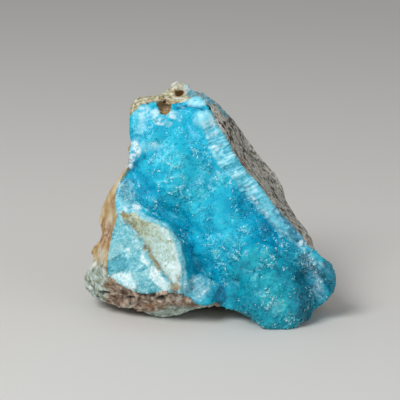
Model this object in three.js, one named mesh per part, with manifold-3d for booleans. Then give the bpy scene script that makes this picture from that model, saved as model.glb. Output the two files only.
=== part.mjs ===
// A hand-sized hemimorphite specimen: a thick, lumpy blue crust on the brown and grey rock that it grew on.
// The stone stands upright on its broken foot and leans back a little.
//
// Its front is laid out on the leaning face, as an eye straight in front of it sees it: `across` runs to the
// right, `up` runs up the face from the lowest point in view, and `out` runs towards the eye. All lengths are
// in millimetres. The finished stone has Z up, the floor at Z = 0 and its front towards -Y.

import * as THREE from "three";
import { mergeVertices } from "three/addons/utils/BufferGeometryUtils.js";
import Module from "manifold-3d";

// How the stone stands and how it is seen.
const LEAN = THREE.MathUtils.degToRad(15);
const EYE_DISTANCE = 450;
const EYE_ACROSS = -2.8;
const EYE_UP = 36.4;
const FOOT_HEIGHT = -1.3; // where the floor meets the lowest point in view, along world Z
const MIDDLE_DEPTH = 16.7; // with the next, brings the middle of the stone's box over the origin
const MIDDLE_ACROSS = -0.5;

// The mesh of each face: a disc of rings, and the rows of the wall between front and back.
const RINGS = 23;
const WALL_ROWS = 3;
const RELAXING_STEPS = 40;
const SMALLEST_TURN = 0.01;
const SHORTEST_EDGE = 0.12; // shorter ones, left where a cut passes near a corner, are closed up

// The body of the rock.
const BACK_OUT = -31;
const THINNEST = 2.5;
const BACK_SHRINK = 0.05;
const BACK_ROUNDING = 6;
const BACK_ROUNDING_REACH = 3;
const ROCK_ROUGHNESS = 1.3;
const FLANK_END = -14.5; // the flanks fall no further back than this

// The crust on it.
const CRUST_THICKNESS = 11;
const CRUST_EDGE_SLOPE = 1.8;
const CRUST_GAP = 0.4;
const CRUST_ROUGHNESS = 0.55;

// The stone's outline as the eye sees it, anticlockwise from its peak.
const OUTLINE = [
  [-7.2, 69.5], [-9.9, 68.7], [-12.4, 67.0], [-15.7, 65.4], [-19.6, 65.0], [-22.0, 63.0], [-22.8, 60.0],
  [-22.7, 56.5], [-22.1, 53.0], [-23.4, 50.8], [-22.7, 48.6], [-23.8, 45.6], [-25.8, 42.6], [-28.5, 38.6],
  [-30.3, 34.6], [-31.3, 30.4], [-30.1, 27.6], [-31.3, 24.6], [-33.3, 21.9], [-32.7, 19.6], [-34.5, 16.8],
  [-35.2, 13.6], [-33.9, 10.6], [-31.6, 8.3], [-28.1, 7.2], [-24.2, 6.3], [-20.3, 5.6], [-16.7, 4.1],
  [-12.7, 3.5], [-8.2, 4.3], [-4.2, 5.6], [0.0, 6.6], [4.6, 6.5], [9.3, 5.2], [12.2, 3.3], [14.7, 1.2],
  [17.6, 0.1], [20.8, 0.1], [24.3, 1.2], [27.7, 3.2], [29.2, 6.2], [31.8, 8.2], [34.6, 11.1], [35.3, 13.8],
  [34.7, 16.5], [32.8, 19.3], [29.6, 22.2], [28.9, 25.2], [26.8, 28.4], [24.2, 31.9], [21.7, 35.8],
  [20.4, 40.3], [17.4, 44.8], [14.3, 48.8], [11.3, 52.8], [8.3, 56.8], [6.0, 59.8], [3.2, 62.6], [0.3, 65.0],
  [-2.3, 66.6], [-4.9, 68.0],
];
const OUTLINE_CENTRE = [0, 29];

// Where the crust ends against bare rock, anticlockwise: up the left edge, over the top, down the long right
// rim, outside the lobes that hide the rock at the lower right, and back under the wedge.
const CRUST_TOP = [
  [-0.4, 62.5], [-1.4, 64.2], [-2.9, 65.5], [-4.9, 65.3], [-6.4, 64.5], [-7.6, 63.6], [-11.0, 63.2],
  [-16.0, 63.8], [-18.8, 63.4], [-21.0, 62.2], [-22.5, 59.9],
];
const CRUST_LEFT = [
  [-22.5, 56.0], [-22.0, 52.9], [-22.1, 50.4], [-22.5, 47.6], [-23.5, 44.8], [-24.6, 42.0], [-25.8, 39.2],
  [-26.6, 35.4], [-26.0, 31.4],
];
const WEDGE_LEFT = [[-27.2, 27.7], [-28.0, 23.8], [-28.6, 20.2], [-29.1, 16.2], [-28.3, 14.6]];
const WEDGE_FOOT = [
  [-26.0, 12.9], [-22.4, 11.5], [-19.6, 10.4], [-16.8, 10.1], [-13.2, 10.4], [-9.8, 10.9], [-7.6, 9.8],
  [-5.6, 8.1], [-2.2, 7.3], [1.7, 7.0],
];
const AROUND_LOBES = [[6.0, -1.0], [14.0, -8.0], [26.0, -8.0], [40.0, 2.0], [44.0, 15.0], [38.0, 24.0]];
const RIGHT_RIM = [
  [29.1, 21.8], [27.8, 22.8], [25.3, 26.3], [21.8, 30.3], [18.3, 34.3], [15.3, 38.4], [12.8, 41.8],
  [10.1, 44.3], [7.8, 47.8], [4.8, 52.8], [2.2, 57.8],
];
const CRUST_EDGE = [...CRUST_TOP, ...CRUST_LEFT, ...WEDGE_LEFT, ...WEDGE_FOOT, ...AROUND_LOBES, ...RIGHT_RIM];

// How steeply the bare rock falls away outside the crust, by direction from the middle, in degrees
// anticlockwise from `across`.
const FLANK_SLOPES = [
  [0, 3.8], [60, 3.8], [85, 1.2], [120, 1.4], [150, 3.0], [185, 2.6], [215, 1.5], [250, 1.9], [275, 2.0],
  [300, 3.0], [360, 3.8],
];

// The broken edge of the crust, a pale band along the right rim that stands proud of the blue hollow.
const BAND_INNER_EDGE = [
  [-6.5, 61.0], [-4.7, 59.4], [-2.0, 56.6], [-0.7, 52.8], [0.8, 48.8], [2.3, 45.8], [5.8, 42.8], [8.8, 38.4],
  [11.3, 35.8], [13.8, 32.8], [16.3, 30.3], [18.8, 27.8], [21.8, 25.3], [24.8, 22.3],
];
const BAND_STEP = 2.4;

// The lower edge of the white ledge at the left, which stands proud of the blue face and fades to the right.
const LEDGE_EDGE = [[-21.6, 45.2], [-20.3, 47.2], [-18.8, 48.6], [-17.4, 49.6], [-14.3, 50.4], [-11.5, 50.8]];
const LEDGE_STEP = 1.3;

// The wedge, a raised block at the lower left. Its face is a plane that turns to the left.
const WEDGE_RIM = [
  [-26.0, 33.5], [-21.1, 34.4], [-19.8, 33.5], [-16.8, 31.7], [-13.8, 30.4], [-11.3, 29.0], [-9.5, 26.7],
  [-8.0, 23.9], [-7.4, 21.2], [-6.8, 18.7], [-6.6, 16.0], [-7.0, 13.0], [-7.7, 10.0], [-8.0, 5.0],
];
const WEDGE_OUT = 10.6;
const WEDGE_TURN = 0.33;
const WEDGE_WALL = 2.2;
const WEDGE_SEAM = [
  [-24.3, 31.2], [-22.3, 29.2], [-20.3, 26.9], [-18.8, 24.2], [-17.8, 21.7], [-16.3, 19.5], [-14.6, 17.9],
  [-13.3, 15.7], [-11.5, 14.2], [-9.0, 12.2], [-8.3, 10.4],
];
const SEAM_STEP = 0.9;

// Rounded lumps of the crust: middle across and up, the out of their equator, and three radii.
const LOBES = [
  { across: 18.6, up: 7.6, out: 0.5, wide: 10.2, tall: 8.6, deep: 6.6 },
  { across: 17.2, up: 12.0, out: 1.0, wide: 8.6, tall: 8.0, deep: 6.0 },
  { across: 12.6, up: 19.2, out: 0.2, wide: 7.6, tall: 6.2, deep: 4.6 },
  { across: 21.0, up: 18.8, out: -2.2, wide: 6.4, tall: 6.6, deep: 4.4 },
  { across: 7.0, up: 11.4, out: -2.6, wide: 6.8, tall: 6.4, deep: 3.6 },
  { across: -4.6, up: 8.6, out: -1.4, wide: 6.4, tall: 7.6, deep: 6.2 },
  { across: 29.2, up: 13.6, out: -10.5, wide: 8.2, tall: 9.0, deep: 9.0 },
  { across: 27.6, up: 19.0, out: -8.0, wide: 5.6, tall: 5.0, deep: 6.0 },
  { across: 24.6, up: 6.6, out: -9.0, wide: 6.0, tall: 6.0, deep: 6.0 },
  { across: 0.6, up: 36.0, out: -1.6, wide: 8.6, tall: 9.4, deep: 4.2 },
  { across: 3.6, up: 25.2, out: -2.4, wide: 9.0, tall: 7.4, deep: 3.6 },
  { across: -9.4, up: 47.5, out: -2.6, wide: 9.0, tall: 8.0, deep: 4.2 },
  { across: -15.5, up: 56.5, out: -4.2, wide: 7.6, tall: 6.4, deep: 4.6 },
  { across: -2.2, up: 59.2, out: -2.0, wide: 3.8, tall: 3.4, deep: 3.4 },
];

// Hollows of the blue face: the line along which each is deepest, its depth and its half width.
const HOLLOWS = [
  { along: [[-22, 44], [-17, 36], [-11.2, 31.5], [-5.8, 24], [-3.6, 17], [-2.0, 12.5]], deep: 3.4, half: 4.4 },
  { along: [[8.2, 37.5], [11.2, 33], [16.8, 26.6], [22.4, 19], [24.4, 11], [25.6, 4.5]], deep: 3.2, half: 3.2 },
  { along: [[2.8, 12.6], [3.4, 7.4]], deep: 4.2, half: 2.0 },
  { along: [[25.2, 15.5], [26.4, 9.0], [26.2, 3.0]], deep: 4.6, half: 2.2 },
];

// Pits, cut along `out`: place, size, depth, corners, and the turn of the first corner in degrees.
const PITS = [
  { across: -13.0, up: 62.6, wide: 5.0, tall: 4.4, deep: 3.2, corners: 5, turn: 0 },
  { across: -8.8, up: 66.5, wide: 3.1, tall: 1.9, deep: 3.6, corners: 6, turn: 10 },
  { across: -0.2, up: 62.0, wide: 1.4, tall: 1.6, deep: 2.4, corners: 5, turn: 30 },
  { across: -25.4, up: 10.6, wide: 4.6, tall: 1.6, deep: 2.6, corners: 6, turn: 15 },
  { across: -19.6, up: 8.6, wide: 3.4, tall: 1.7, deep: 2.2, corners: 6, turn: 40 },
  { across: -12.6, up: 8.6, wide: 6.4, tall: 1.3, deep: 2.8, corners: 6, turn: 25 },
  { across: -9.0, up: 9.7, wide: 2.4, tall: 1.1, deep: 2.0, corners: 5, turn: 0 },
];
const PIT_REACH = 4; // how far a cutter stands out of the surface
const PIT_TAPER = 0.62;

// Facets of the broken back: where each starts and how its `out` changes from there.
const BACK_FACETS = [
  { across: 0, up: 0, perAcross: 0, perUp: 0 },
  { across: 0, up: 34, perAcross: 0.06, perUp: 0.4 },
  { across: -2, up: 46, perAcross: 0.55, perUp: 0.42 },
  { across: -12, up: 0, perAcross: -0.5, perUp: -0.04 },
  { across: -14, up: 30, perAcross: -0.72, perUp: 0.34 },
  { across: 12, up: 20, perAcross: 0.62, perUp: 0.1 },
  { across: 20, up: 6, perAcross: 0.5, perUp: -0.5 },
  { across: 0, up: 14, perAcross: 0.1, perUp: -0.35 },
];
const BACK_CORNER = 1.2; // how far from a meeting of two facets the corner is rounded
const BACK_STEP = 1.8; // height of the ledges that break the back

const wasm = await Module();
wasm.setup();

const mix = (a, b, share) => a + (b - a) * share;

function smoothStep(low, high, x) {
  const t = Math.min(1, Math.max(0, (x - low) / (high - low)));
  return t * t * (3 - 2 * t);
}

// The larger of two values, rounded over where they come within `blend` of each other.
function smoothMax(a, b, blend) {
  const h = Math.max(blend - Math.abs(a - b), 0) / blend;
  return Math.max(a, b) + (h * h * blend) / 4;
}

// A repeatable random value from -1 to 1 for each corner of a grid.
function gridValue(i, j, k) {
  let h = Math.imul(i, 374761393) + Math.imul(j, 668265263) + Math.imul(k, 1274126177);
  h = Math.imul(h ^ (h >>> 13), 1103515245);
  return ((h ^ (h >>> 16)) >>> 0) / 2147483648 - 1;
}

// Smooth noise from -1 to 1 that changes over a length of 1.
function noise(x, y, z) {
  const [i, j, k] = [Math.floor(x), Math.floor(y), Math.floor(z)];
  const [u, v, w] = [smoothStep(0, 1, x - i), smoothStep(0, 1, y - j), smoothStep(0, 1, z - k)];
  const row = (dj, dk) => mix(gridValue(i, j + dj, k + dk), gridValue(i + 1, j + dj, k + dk), u);
  return mix(mix(row(0, 0), row(1, 0), v), mix(row(0, 1), row(1, 1), v), w);
}

// Noise of several sizes, the largest changing over `size` millimetres.
function roughness(x, y, size, layer, octaves = 3) {
  let total = 0;
  for (let octave = 0; octave < octaves; octave++) {
    const scale = 2 ** octave / size;
    total += noise(x * scale, y * scale, layer + 7.3 * octave) / 2 ** octave;
  }
  return total;
}

// The nearest point of a line of points: its distance, and on which side of the line's direction it lies
// (positive to the right).
function nearestOnLine(points, across, up, closed = false) {
  let best = { distance: Infinity, side: 0, share: 0 };
  const last = closed ? points.length : points.length - 1;
  for (let i = 0; i < last; i++) {
    const [ax, ay] = points[i];
    const [bx, by] = points[(i + 1) % points.length];
    const [dx, dy, px, py] = [bx - ax, by - ay, across - ax, up - ay];
    const t = Math.min(1, Math.max(0, (px * dx + py * dy) / (dx * dx + dy * dy)));
    const distance = Math.hypot(px - t * dx, py - t * dy);
    if (distance < best.distance - 1e-9) {
      best = { distance, side: Math.sign(px * dy - py * dx), share: (i + t) / last };
    }
  }
  return best;
}

// Distance to a closed outline, positive inside it.
function depthInside(outline, across, up) {
  let inside = false;
  for (let i = 0, j = outline.length - 1; i < outline.length; j = i++) {
    const [ax, ay] = outline[i];
    const [bx, by] = outline[j];
    if (ay > up !== by > up && across < ((bx - ax) * (up - ay)) / (by - ay) + ax) inside = !inside;
  }
  const { distance } = nearestOnLine(outline, across, up, true);
  return inside ? distance : -distance;
}

function flankSlope(across, up) {
  const [middleAcross, middleUp] = OUTLINE_CENTRE;
  const angle = THREE.MathUtils.radToDeg(Math.atan2(up - middleUp, across - middleAcross));
  const turned = THREE.MathUtils.euclideanModulo(angle, 360);
  const next = FLANK_SLOPES.findIndex(([from]) => from > turned);
  const [[from, slope], [to, nextSlope]] = [FLANK_SLOPES[next - 1], FLANK_SLOPES[next]];
  return mix(slope, nextSlope, (turned - from) / (to - from));
}

// The blue face without the wedge: gently domed, with its hollows, lobes and the step up to the pale band.
function blueFace(across, up) {
  let out = 1.6 - 0.0042 * Math.max(0, up - 34) ** 2 - 0.004 * Math.max(0, 30 - up) ** 2;
  for (const { along, deep, half } of HOLLOWS) {
    out -= deep * Math.exp(-((nearestOnLine(along, across, up).distance / half) ** 2));
  }
  for (const lobe of LOBES) {
    const reach = Math.hypot((across - lobe.across) / lobe.wide, (up - lobe.up) / lobe.tall);
    if (reach < 1) out = smoothMax(out, lobe.out + lobe.deep * Math.sqrt(1 - reach * reach), 1.6);
  }
  const band = nearestOnLine(BAND_INNER_EDGE, across, up);
  out += BAND_STEP * smoothStep(0.1, 0.9, band.share) * smoothStep(-0.4, 1.2, -band.side * band.distance);
  const ledge = nearestOnLine(LEDGE_EDGE, across, up);
  const fading = 1 - smoothStep(0.5, 1, ledge.share);
  const behindLedge = 1 - smoothStep(2, 7, ledge.distance);
  return out + LEDGE_STEP * fading * behindLedge * smoothStep(-0.3, 0.9, -ledge.side * ledge.distance);
}

// The wedge's face, with the step up at its seam and lower, rounded edges.
function wedgeFace(across, up) {
  const seam = nearestOnLine(WEDGE_SEAM, across, up);
  const rightOfSeam = -seam.side * seam.distance;
  const tilted = WEDGE_OUT + WEDGE_TURN * Math.min(across, -9) + 0.1 * Math.max(0, 12 - up);
  const rim = nearestOnLine(WEDGE_RIM, across, up).distance;
  return tilted + SEAM_STEP * smoothStep(-0.3, 0.9, rightOfSeam) - 1.1 * Math.exp(-rim / 1.4);
}

// The crust's own face, run on past its edge: the blue face with the wedge on it.
function crustFace(across, up) {
  const rim = nearestOnLine(WEDGE_RIM, across, up);
  const insideWedge = rim.side * rim.distance;
  return mix(blueFace(across, up), wedgeFace(across, up), smoothStep(-WEDGE_WALL, 0.5, insideWedge));
}

// The front of the stone: the crust's face, and the bare rock that falls away around it.
function front(across, up) {
  const outside = -depthInside(CRUST_EDGE, across, up);
  const face = crustFace(across, up);
  const fallen = smoothMax(face - flankSlope(across, up) * Math.max(0, outside), FLANK_END, 3);
  const lumps = CRUST_ROUGHNESS * roughness(across, up, 5.5, 1.7);
  const broken = ROCK_ROUGHNESS * roughness(across, up, 4.5, 5.1);
  return (outside > 0 ? fallen : face) + mix(lumps, broken, smoothStep(-0.5, 1, outside));
}

function back(across, up) {
  let out = -Infinity;
  for (const facet of BACK_FACETS) {
    const plane =
      BACK_OUT + facet.perAcross * (across - facet.across) + facet.perUp * (up - facet.up);
    out = out === -Infinity ? plane : smoothMax(out, plane, BACK_CORNER);
  }
  out += BACK_ROUNDING * Math.exp(-Math.max(0, depthInside(OUTLINE, across, up)) / BACK_ROUNDING_REACH);
  out += BACK_STEP * smoothStep(-0.12, 0.12, roughness(across, up, 15, 11.3, 1));
  out += roughness(across, up, 12, 13.1, 1) + 0.9 * Math.abs(roughness(across, up, 6, 17.9, 2));
  return Math.min(out, front(across, up) - THINNEST);
}

// From apparent across and up at a given out, to true lengths on the leaning face, and back.
function trueFace(across, up, out) {
  const nearness = 1 - out / EYE_DISTANCE;
  return new THREE.Vector3(
    EYE_ACROSS + (across - EYE_ACROSS) * nearness,
    EYE_UP + (up - EYE_UP) * nearness,
    out,
  );
}

function apparent(point) {
  const nearness = 1 - point.z / EYE_DISTANCE;
  return [EYE_ACROSS + (point.x - EYE_ACROSS) / nearness, EYE_UP + (point.y - EYE_UP) / nearness];
}

// From the leaning face to the standing stone: X across, Y to the back, Z up.
const STANDING = new THREE.Matrix4()
  .makeTranslation(-MIDDLE_ACROSS, -MIDDLE_DEPTH, FOOT_HEIGHT)
  .multiply(new THREE.Matrix4().makeRotationX(Math.PI / 2 - LEAN));

// Points and triangles of a disc of rings, each ring having six points more than the one inside it.
function discOfRings(rings) {
  const firstOf = (ring) => (ring === 0 ? 0 : 1 + 3 * ring * (ring - 1));
  const pointOf = (ring, sixth, step) =>
    ring === 0 ? 0 : firstOf(ring) + ((sixth * ring + step) % (6 * ring));
  const triangles = [];
  for (let ring = 1; ring <= rings; ring++) {
    for (let sixth = 0; sixth < 6; sixth++) {
      for (let step = 0; step < ring; step++) {
        const inner = pointOf(ring - 1, sixth, step);
        const outer = pointOf(ring, sixth, step);
        const nextOuter = pointOf(ring, sixth, step + 1);
        triangles.push([inner, outer, nextOuter]);
        if (step < ring - 1) triangles.push([inner, nextOuter, pointOf(ring - 1, sixth, step + 1)]);
      }
    }
  }
  const ringOf = [];
  for (let ring = 0; ring <= rings; ring++) {
    for (let i = 0; i < Math.max(1, 6 * ring); i++) ringOf.push(ring);
  }
  return { triangles, ringOf, rimStart: firstOf(rings), count: firstOf(rings + 1) };
}

// Twice the area of a triangle of places on the leaning face, positive when it runs anticlockwise.
const turnOf = ([ax, ay], [bx, by], [cx, cy]) => (bx - ax) * (cy - ay) - (by - ay) * (cx - ax);

// One face of the stone: the disc stretched over the outline, then evened out over the face's own surface.
// A point stays where it is if its move would fold a triangle.
function faceOfStone(disc, outline, heightAt) {
  const [middleAcross, middleUp] = OUTLINE_CENTRE;
  const places = disc.ringOf.map((ring, i) => {
    if (ring === 0) return [middleAcross, middleUp];
    const turn = (i - 1 - 3 * ring * (ring - 1)) / (6 * ring);
    const [rimAcross, rimUp] = outline[Math.round(turn * outline.length) % outline.length];
    const share = ring / RINGS;
    return [mix(middleAcross, rimAcross, share), mix(middleUp, rimUp, share)];
  });
  const trianglesOf = places.map(() => []);
  for (const triangle of disc.triangles) {
    for (const corner of triangle) trianglesOf[corner].push(triangle);
  }
  const points = places.map(([across, up]) => trueFace(across, up, heightAt(across, up)));
  for (let step = 0; step < RELAXING_STEPS; step++) {
    for (let i = 0; i < disc.rimStart; i++) {
      const sum = new THREE.Vector3();
      let weights = 0;
      for (const j of trianglesOf[i].flat()) {
        if (j === i) continue;
        const length = points[i].distanceTo(points[j]) + 0.2;
        sum.addScaledVector(points[j], length);
        weights += length;
      }
      const moved = apparent(sum.divideScalar(weights));
      const placeOf = (corner) => (corner === i ? moved : places[corner]);
      const turns = trianglesOf[i].map((corners) => turnOf(...corners.map(placeOf)));
      if (Math.min(...turns) < SMALLEST_TURN) continue;
      places[i] = moved;
      points[i] = trueFace(...moved, heightAt(...moved));
    }
  }
  return points;
}

// The whole stone as one closed mesh: front, back and the wall between their rims.
function stoneGeometry() {
  const disc = discOfRings(RINGS);
  const curve = new THREE.CatmullRomCurve3(
    OUTLINE.map(([across, up]) => new THREE.Vector3(across, up, 0)),
    true,
    "centripetal",
  );
  const outline = curve.getSpacedPoints(6 * RINGS).slice(0, -1).map(({ x, y }) => [x, y]);
  const backOutline = outline.map(([across, up]) => {
    const kept = 1 - BACK_SHRINK * (1 + roughness(across, up, 9, 23.1));
    return [mix(OUTLINE_CENTRE[0], across, kept), mix(OUTLINE_CENTRE[1], up, kept)];
  });
  const frontPoints = faceOfStone(disc, outline, front);
  const backPoints = faceOfStone(disc, backOutline, back);

  const positions = [...frontPoints, ...backPoints];
  const rim = 6 * RINGS;
  const rows = [[...Array(rim).keys()].map((i) => disc.rimStart + i)];
  for (let row = 1; row < WALL_ROWS; row++) {
    rows.push([...Array(rim).keys()].map((i) => positions.length + i));
    for (let i = 0; i < rim; i++) {
      const from = frontPoints[disc.rimStart + i];
      const to = backPoints[disc.rimStart + i];
      positions.push(from.clone().lerp(to, row / WALL_ROWS));
    }
  }
  rows.push(rows[0].map((i) => i + disc.count));
  const triangles = disc.triangles.flatMap(([a, b, c]) => [
    [a, b, c],
    [disc.count + a, disc.count + c, disc.count + b],
  ]);
  for (let row = 0; row < WALL_ROWS; row++) {
    for (let i = 0; i < rim; i++) {
      const next = (i + 1) % rim;
      const [a, b, c, d] = [rows[row][i], rows[row][next], rows[row + 1][next], rows[row + 1][i]];
      triangles.push([a, c, b], [a, d, c]);
    }
  }
  const geometry = new THREE.BufferGeometry().setFromPoints(positions);
  geometry.setIndex(triangles.flat());
  return geometry.applyMatrix4(STANDING);
}

// A block that holds everything behind the back of the crust.
function behindCrust(gap) {
  const [wide, tall, deep] = [100, 110, 60];
  const block = new THREE.BoxGeometry(wide, tall, deep, 26, 28, 1);
  const position = block.getAttribute("position");
  for (let i = 0; i < position.count; i++) {
    const [across, up] = [position.getX(i), position.getY(i) + 32];
    const inside = depthInside(CRUST_EDGE, across, up);
    const grown = CRUST_THICKNESS * (1 - Math.exp((-CRUST_EDGE_SLOPE * inside) / CRUST_THICKNESS));
    const thick = inside > 0 ? grown : CRUST_EDGE_SLOPE * inside;
    const out = position.getZ(i) > 0 ? crustFace(across, up) - thick - gap : BACK_OUT - deep;
    const placed = trueFace(across, up, out);
    position.setXYZ(i, placed.x, placed.y, placed.z);
  }
  return block.applyMatrix4(STANDING);
}

function pitCutter(pit) {
  const surface = front(pit.across, pit.up);
  const length = pit.deep + PIT_REACH;
  const cutter = new THREE.CylinderGeometry(0.5, 0.5 * PIT_TAPER, length, pit.corners);
  cutter.rotateX(Math.PI / 2);
  cutter.rotateZ(-Math.PI / 2 + THREE.MathUtils.degToRad(pit.turn));
  cutter.scale(pit.wide, pit.tall, 1);
  const middle = trueFace(pit.across, pit.up, surface + PIT_REACH - length / 2);
  return cutter.translate(middle.x, middle.y, middle.z).applyMatrix4(STANDING);
}

function floorBlock() {
  const [side, deep] = [300, 80];
  return new THREE.BoxGeometry(side, side, deep).translate(0, 0, -deep / 2);
}

function solidOf(geometry) {
  const bare = geometry.clone();
  bare.deleteAttribute("normal");
  bare.deleteAttribute("uv");
  const merged = mergeVertices(bare, 1e-4);
  return new wasm.Manifold(
    new wasm.Mesh({
      numProp: 3,
      vertProperties: new Float32Array(merged.attributes.position.array),
      triVerts: new Uint32Array(merged.index.array),
    }),
  );
}

// The main body of a solid, without the crumbs that a cut leaves.
function mainBody(solid) {
  return solid.decompose().reduce((most, body) => (body.volume() > most.volume() ? body : most));
}

// Draws the two ends of each very short edge together. An edge is left alone where that would fold the
// surface: its ends may share only the two corners that face it.
function withoutShortEdges(points, triangles) {
  let kept = triangles;
  for (let closed = 1; closed > 0; ) {
    closed = 0;
    const around = points.map(() => new Set());
    for (const [a, b, c] of kept) {
      around[a].add(b).add(c);
      around[b].add(a).add(c);
      around[c].add(a).add(b);
    }
    const settled = new Set();
    const movedTo = new Map();
    for (const [a, b, c] of kept) {
      for (const [from, to] of [[a, b], [b, c], [c, a]]) {
        if (settled.has(from) || settled.has(to)) continue;
        if (points[from].distanceTo(points[to]) > SHORTEST_EDGE) continue;
        if ([...around[from]].filter((other) => around[to].has(other)).length !== 2) continue;
        movedTo.set(from, to);
        for (const other of [from, to, ...around[from], ...around[to]]) settled.add(other);
        closed++;
      }
    }
    kept = kept
      .map((corners) => corners.map((corner) => movedTo.get(corner) ?? corner))
      .filter(([a, b, c]) => a !== b && b !== c && c !== a);
  }
  return kept;
}

function meshOf(name, solid, material) {
  const { vertProperties, triVerts } = solid.getMesh();
  const points = [];
  for (let i = 0; i < vertProperties.length; i += 3) {
    points.push(new THREE.Vector3().fromArray(vertProperties, i));
  }
  const triangles = [];
  for (let i = 0; i < triVerts.length; i += 3) triangles.push([...triVerts.slice(i, i + 3)]);
  const geometry = new THREE.BufferGeometry().setFromPoints(points);
  geometry.setIndex(withoutShortEdges(points, triangles).flat());
  geometry.computeVertexNormals();
  const mesh = new THREE.Mesh(geometry, material);
  mesh.name = name;
  return mesh;
}

const CRUST_MATERIAL = new THREE.MeshStandardMaterial({ color: 0x2fa6c4, roughness: 0.4, metalness: 0 });
const ROCK_MATERIAL = new THREE.MeshStandardMaterial({ color: 0x8a7a63, roughness: 0.9, metalness: 0 });

let stone = solidOf(stoneGeometry()).subtract(solidOf(floorBlock()));
for (const pit of PITS) stone = stone.subtract(solidOf(pitCutter(pit)));
const crust = mainBody(stone.subtract(solidOf(behindCrust(0))));
const rock = mainBody(stone.intersect(solidOf(behindCrust(CRUST_GAP))));

const specimen = new THREE.Group();
specimen.add(meshOf("hemimorphite_crust", crust, CRUST_MATERIAL));
specimen.add(meshOf("host_rock", rock, ROCK_MATERIAL));

export default specimen;
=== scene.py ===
"""Dresses a hemimorphite specimen: a sparkling blue crust on brown and grey rock.

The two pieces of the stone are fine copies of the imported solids, with their relief added by moving
points. Places on the stone are given on its leaning front, as the camera sees it: `across` to the right
and `up` the face, in millimetres, with `out` towards the camera.
"""

import logging
import math
from abc import ABC, abstractmethod
from dataclasses import dataclass, field
from enum import Enum
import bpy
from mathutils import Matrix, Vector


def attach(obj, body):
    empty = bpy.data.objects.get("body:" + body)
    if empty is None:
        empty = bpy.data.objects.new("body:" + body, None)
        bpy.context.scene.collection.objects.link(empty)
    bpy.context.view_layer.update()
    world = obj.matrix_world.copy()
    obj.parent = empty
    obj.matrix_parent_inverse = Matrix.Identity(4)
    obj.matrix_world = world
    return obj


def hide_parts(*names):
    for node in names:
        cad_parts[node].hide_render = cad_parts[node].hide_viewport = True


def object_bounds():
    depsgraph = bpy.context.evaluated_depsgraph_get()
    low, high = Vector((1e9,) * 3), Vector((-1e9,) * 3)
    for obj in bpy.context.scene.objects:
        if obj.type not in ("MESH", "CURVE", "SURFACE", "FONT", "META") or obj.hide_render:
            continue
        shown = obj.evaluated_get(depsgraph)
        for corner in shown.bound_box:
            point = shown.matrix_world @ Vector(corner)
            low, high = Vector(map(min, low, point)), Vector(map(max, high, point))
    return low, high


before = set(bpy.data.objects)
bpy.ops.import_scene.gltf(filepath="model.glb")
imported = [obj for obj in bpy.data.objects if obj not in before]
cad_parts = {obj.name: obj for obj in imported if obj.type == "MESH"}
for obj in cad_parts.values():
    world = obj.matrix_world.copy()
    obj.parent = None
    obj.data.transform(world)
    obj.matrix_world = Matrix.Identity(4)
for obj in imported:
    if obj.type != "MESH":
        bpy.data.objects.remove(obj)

from types import SimpleNamespace

import bmesh
import bpy
import numpy as np
from mathutils import Matrix, Vector
from mathutils.bvhtree import BVHTree

CAD_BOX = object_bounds()
MM = 0.001
LOG = logging.getLogger("specimen")

Points = list[tuple[float, float]]
Colour = tuple[int, int, int]
Array = np.ndarray
Socket = bpy.types.NodeSocket

BAND_INNER_EDGE: Points = [
    (-6.5, 61.0), (-4.7, 59.4), (-2.0, 56.6), (-0.7, 52.8), (0.8, 48.8), (2.3, 45.8), (5.8, 42.8),
    (8.8, 38.4), (11.3, 35.8), (13.8, 32.8), (16.3, 30.3), (18.8, 27.8), (21.8, 25.3), (24.8, 22.3),
    (26.8, 20.0),
]
RIM_DIRECTION = (0.62, -0.78)
FIBRE_DIRECTION = (0.9, 0.42)
WEDGE_RIM: Points = [
    (-26.0, 33.5), (-21.1, 34.4), (-19.8, 33.5), (-16.8, 31.7), (-13.8, 30.4), (-11.3, 29.0), (-9.5, 26.7),
    (-8.0, 23.9), (-7.4, 21.2), (-6.8, 18.7), (-6.6, 16.0), (-7.0, 13.0), (-7.7, 10.0), (-8.0, 5.0),
]
WEDGE_SEAM: Points = [
    (-24.6, 31.6), (-23.0, 29.7), (-21.3, 28.4), (-20.2, 26.9), (-18.5, 24.6), (-17.6, 22.4), (-16.5, 20.4),
    (-15.4, 19.2), (-14.0, 16.8), (-12.0, 14.6), (-10.6, 12.9), (-9.2, 11.0),
]
LEFT_HOLLOW: Points = [(-22, 44), (-17, 36), (-11.2, 31.5), (-5.8, 24), (-3.6, 17), (-1.0, 14.5), (3, 12)]
RIGHT_HOLLOW: Points = [(7.0, 39.0), (11.2, 33), (16.8, 26.6), (22.4, 19), (24.4, 11), (25.6, 4.5)]
TOP_HOLE: Points = [(-15.9, 64.6), (-10.1, 64.2), (-11.2, 61.4), (-12.2, 60.3), (-13.6, 60.6)]
RIM_HOLE: Points = [(-10.7, 67.2), (-8.9, 66.8), (-7.1, 67.3), (-7.5, 66.0), (-8.8, 65.2), (-10.0, 65.7)]
CREVICE: Points = [(25.2, 15.5), (26.4, 9.0), (26.2, 3.0)]
SHELF_SHADOW: Points = [(-9.2, 62.2), (-6.0, 62.7), (-3.2, 62.5), (-1.6, 61.8)]
WHITE_LEDGE: Points = [
    (-22.6, 53.2), (-20.4, 52.9), (-18.6, 51.6), (-18.8, 48.9), (-20.6, 46.8), (-22.0, 44.8), (-23.6, 44.6),
]
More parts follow.
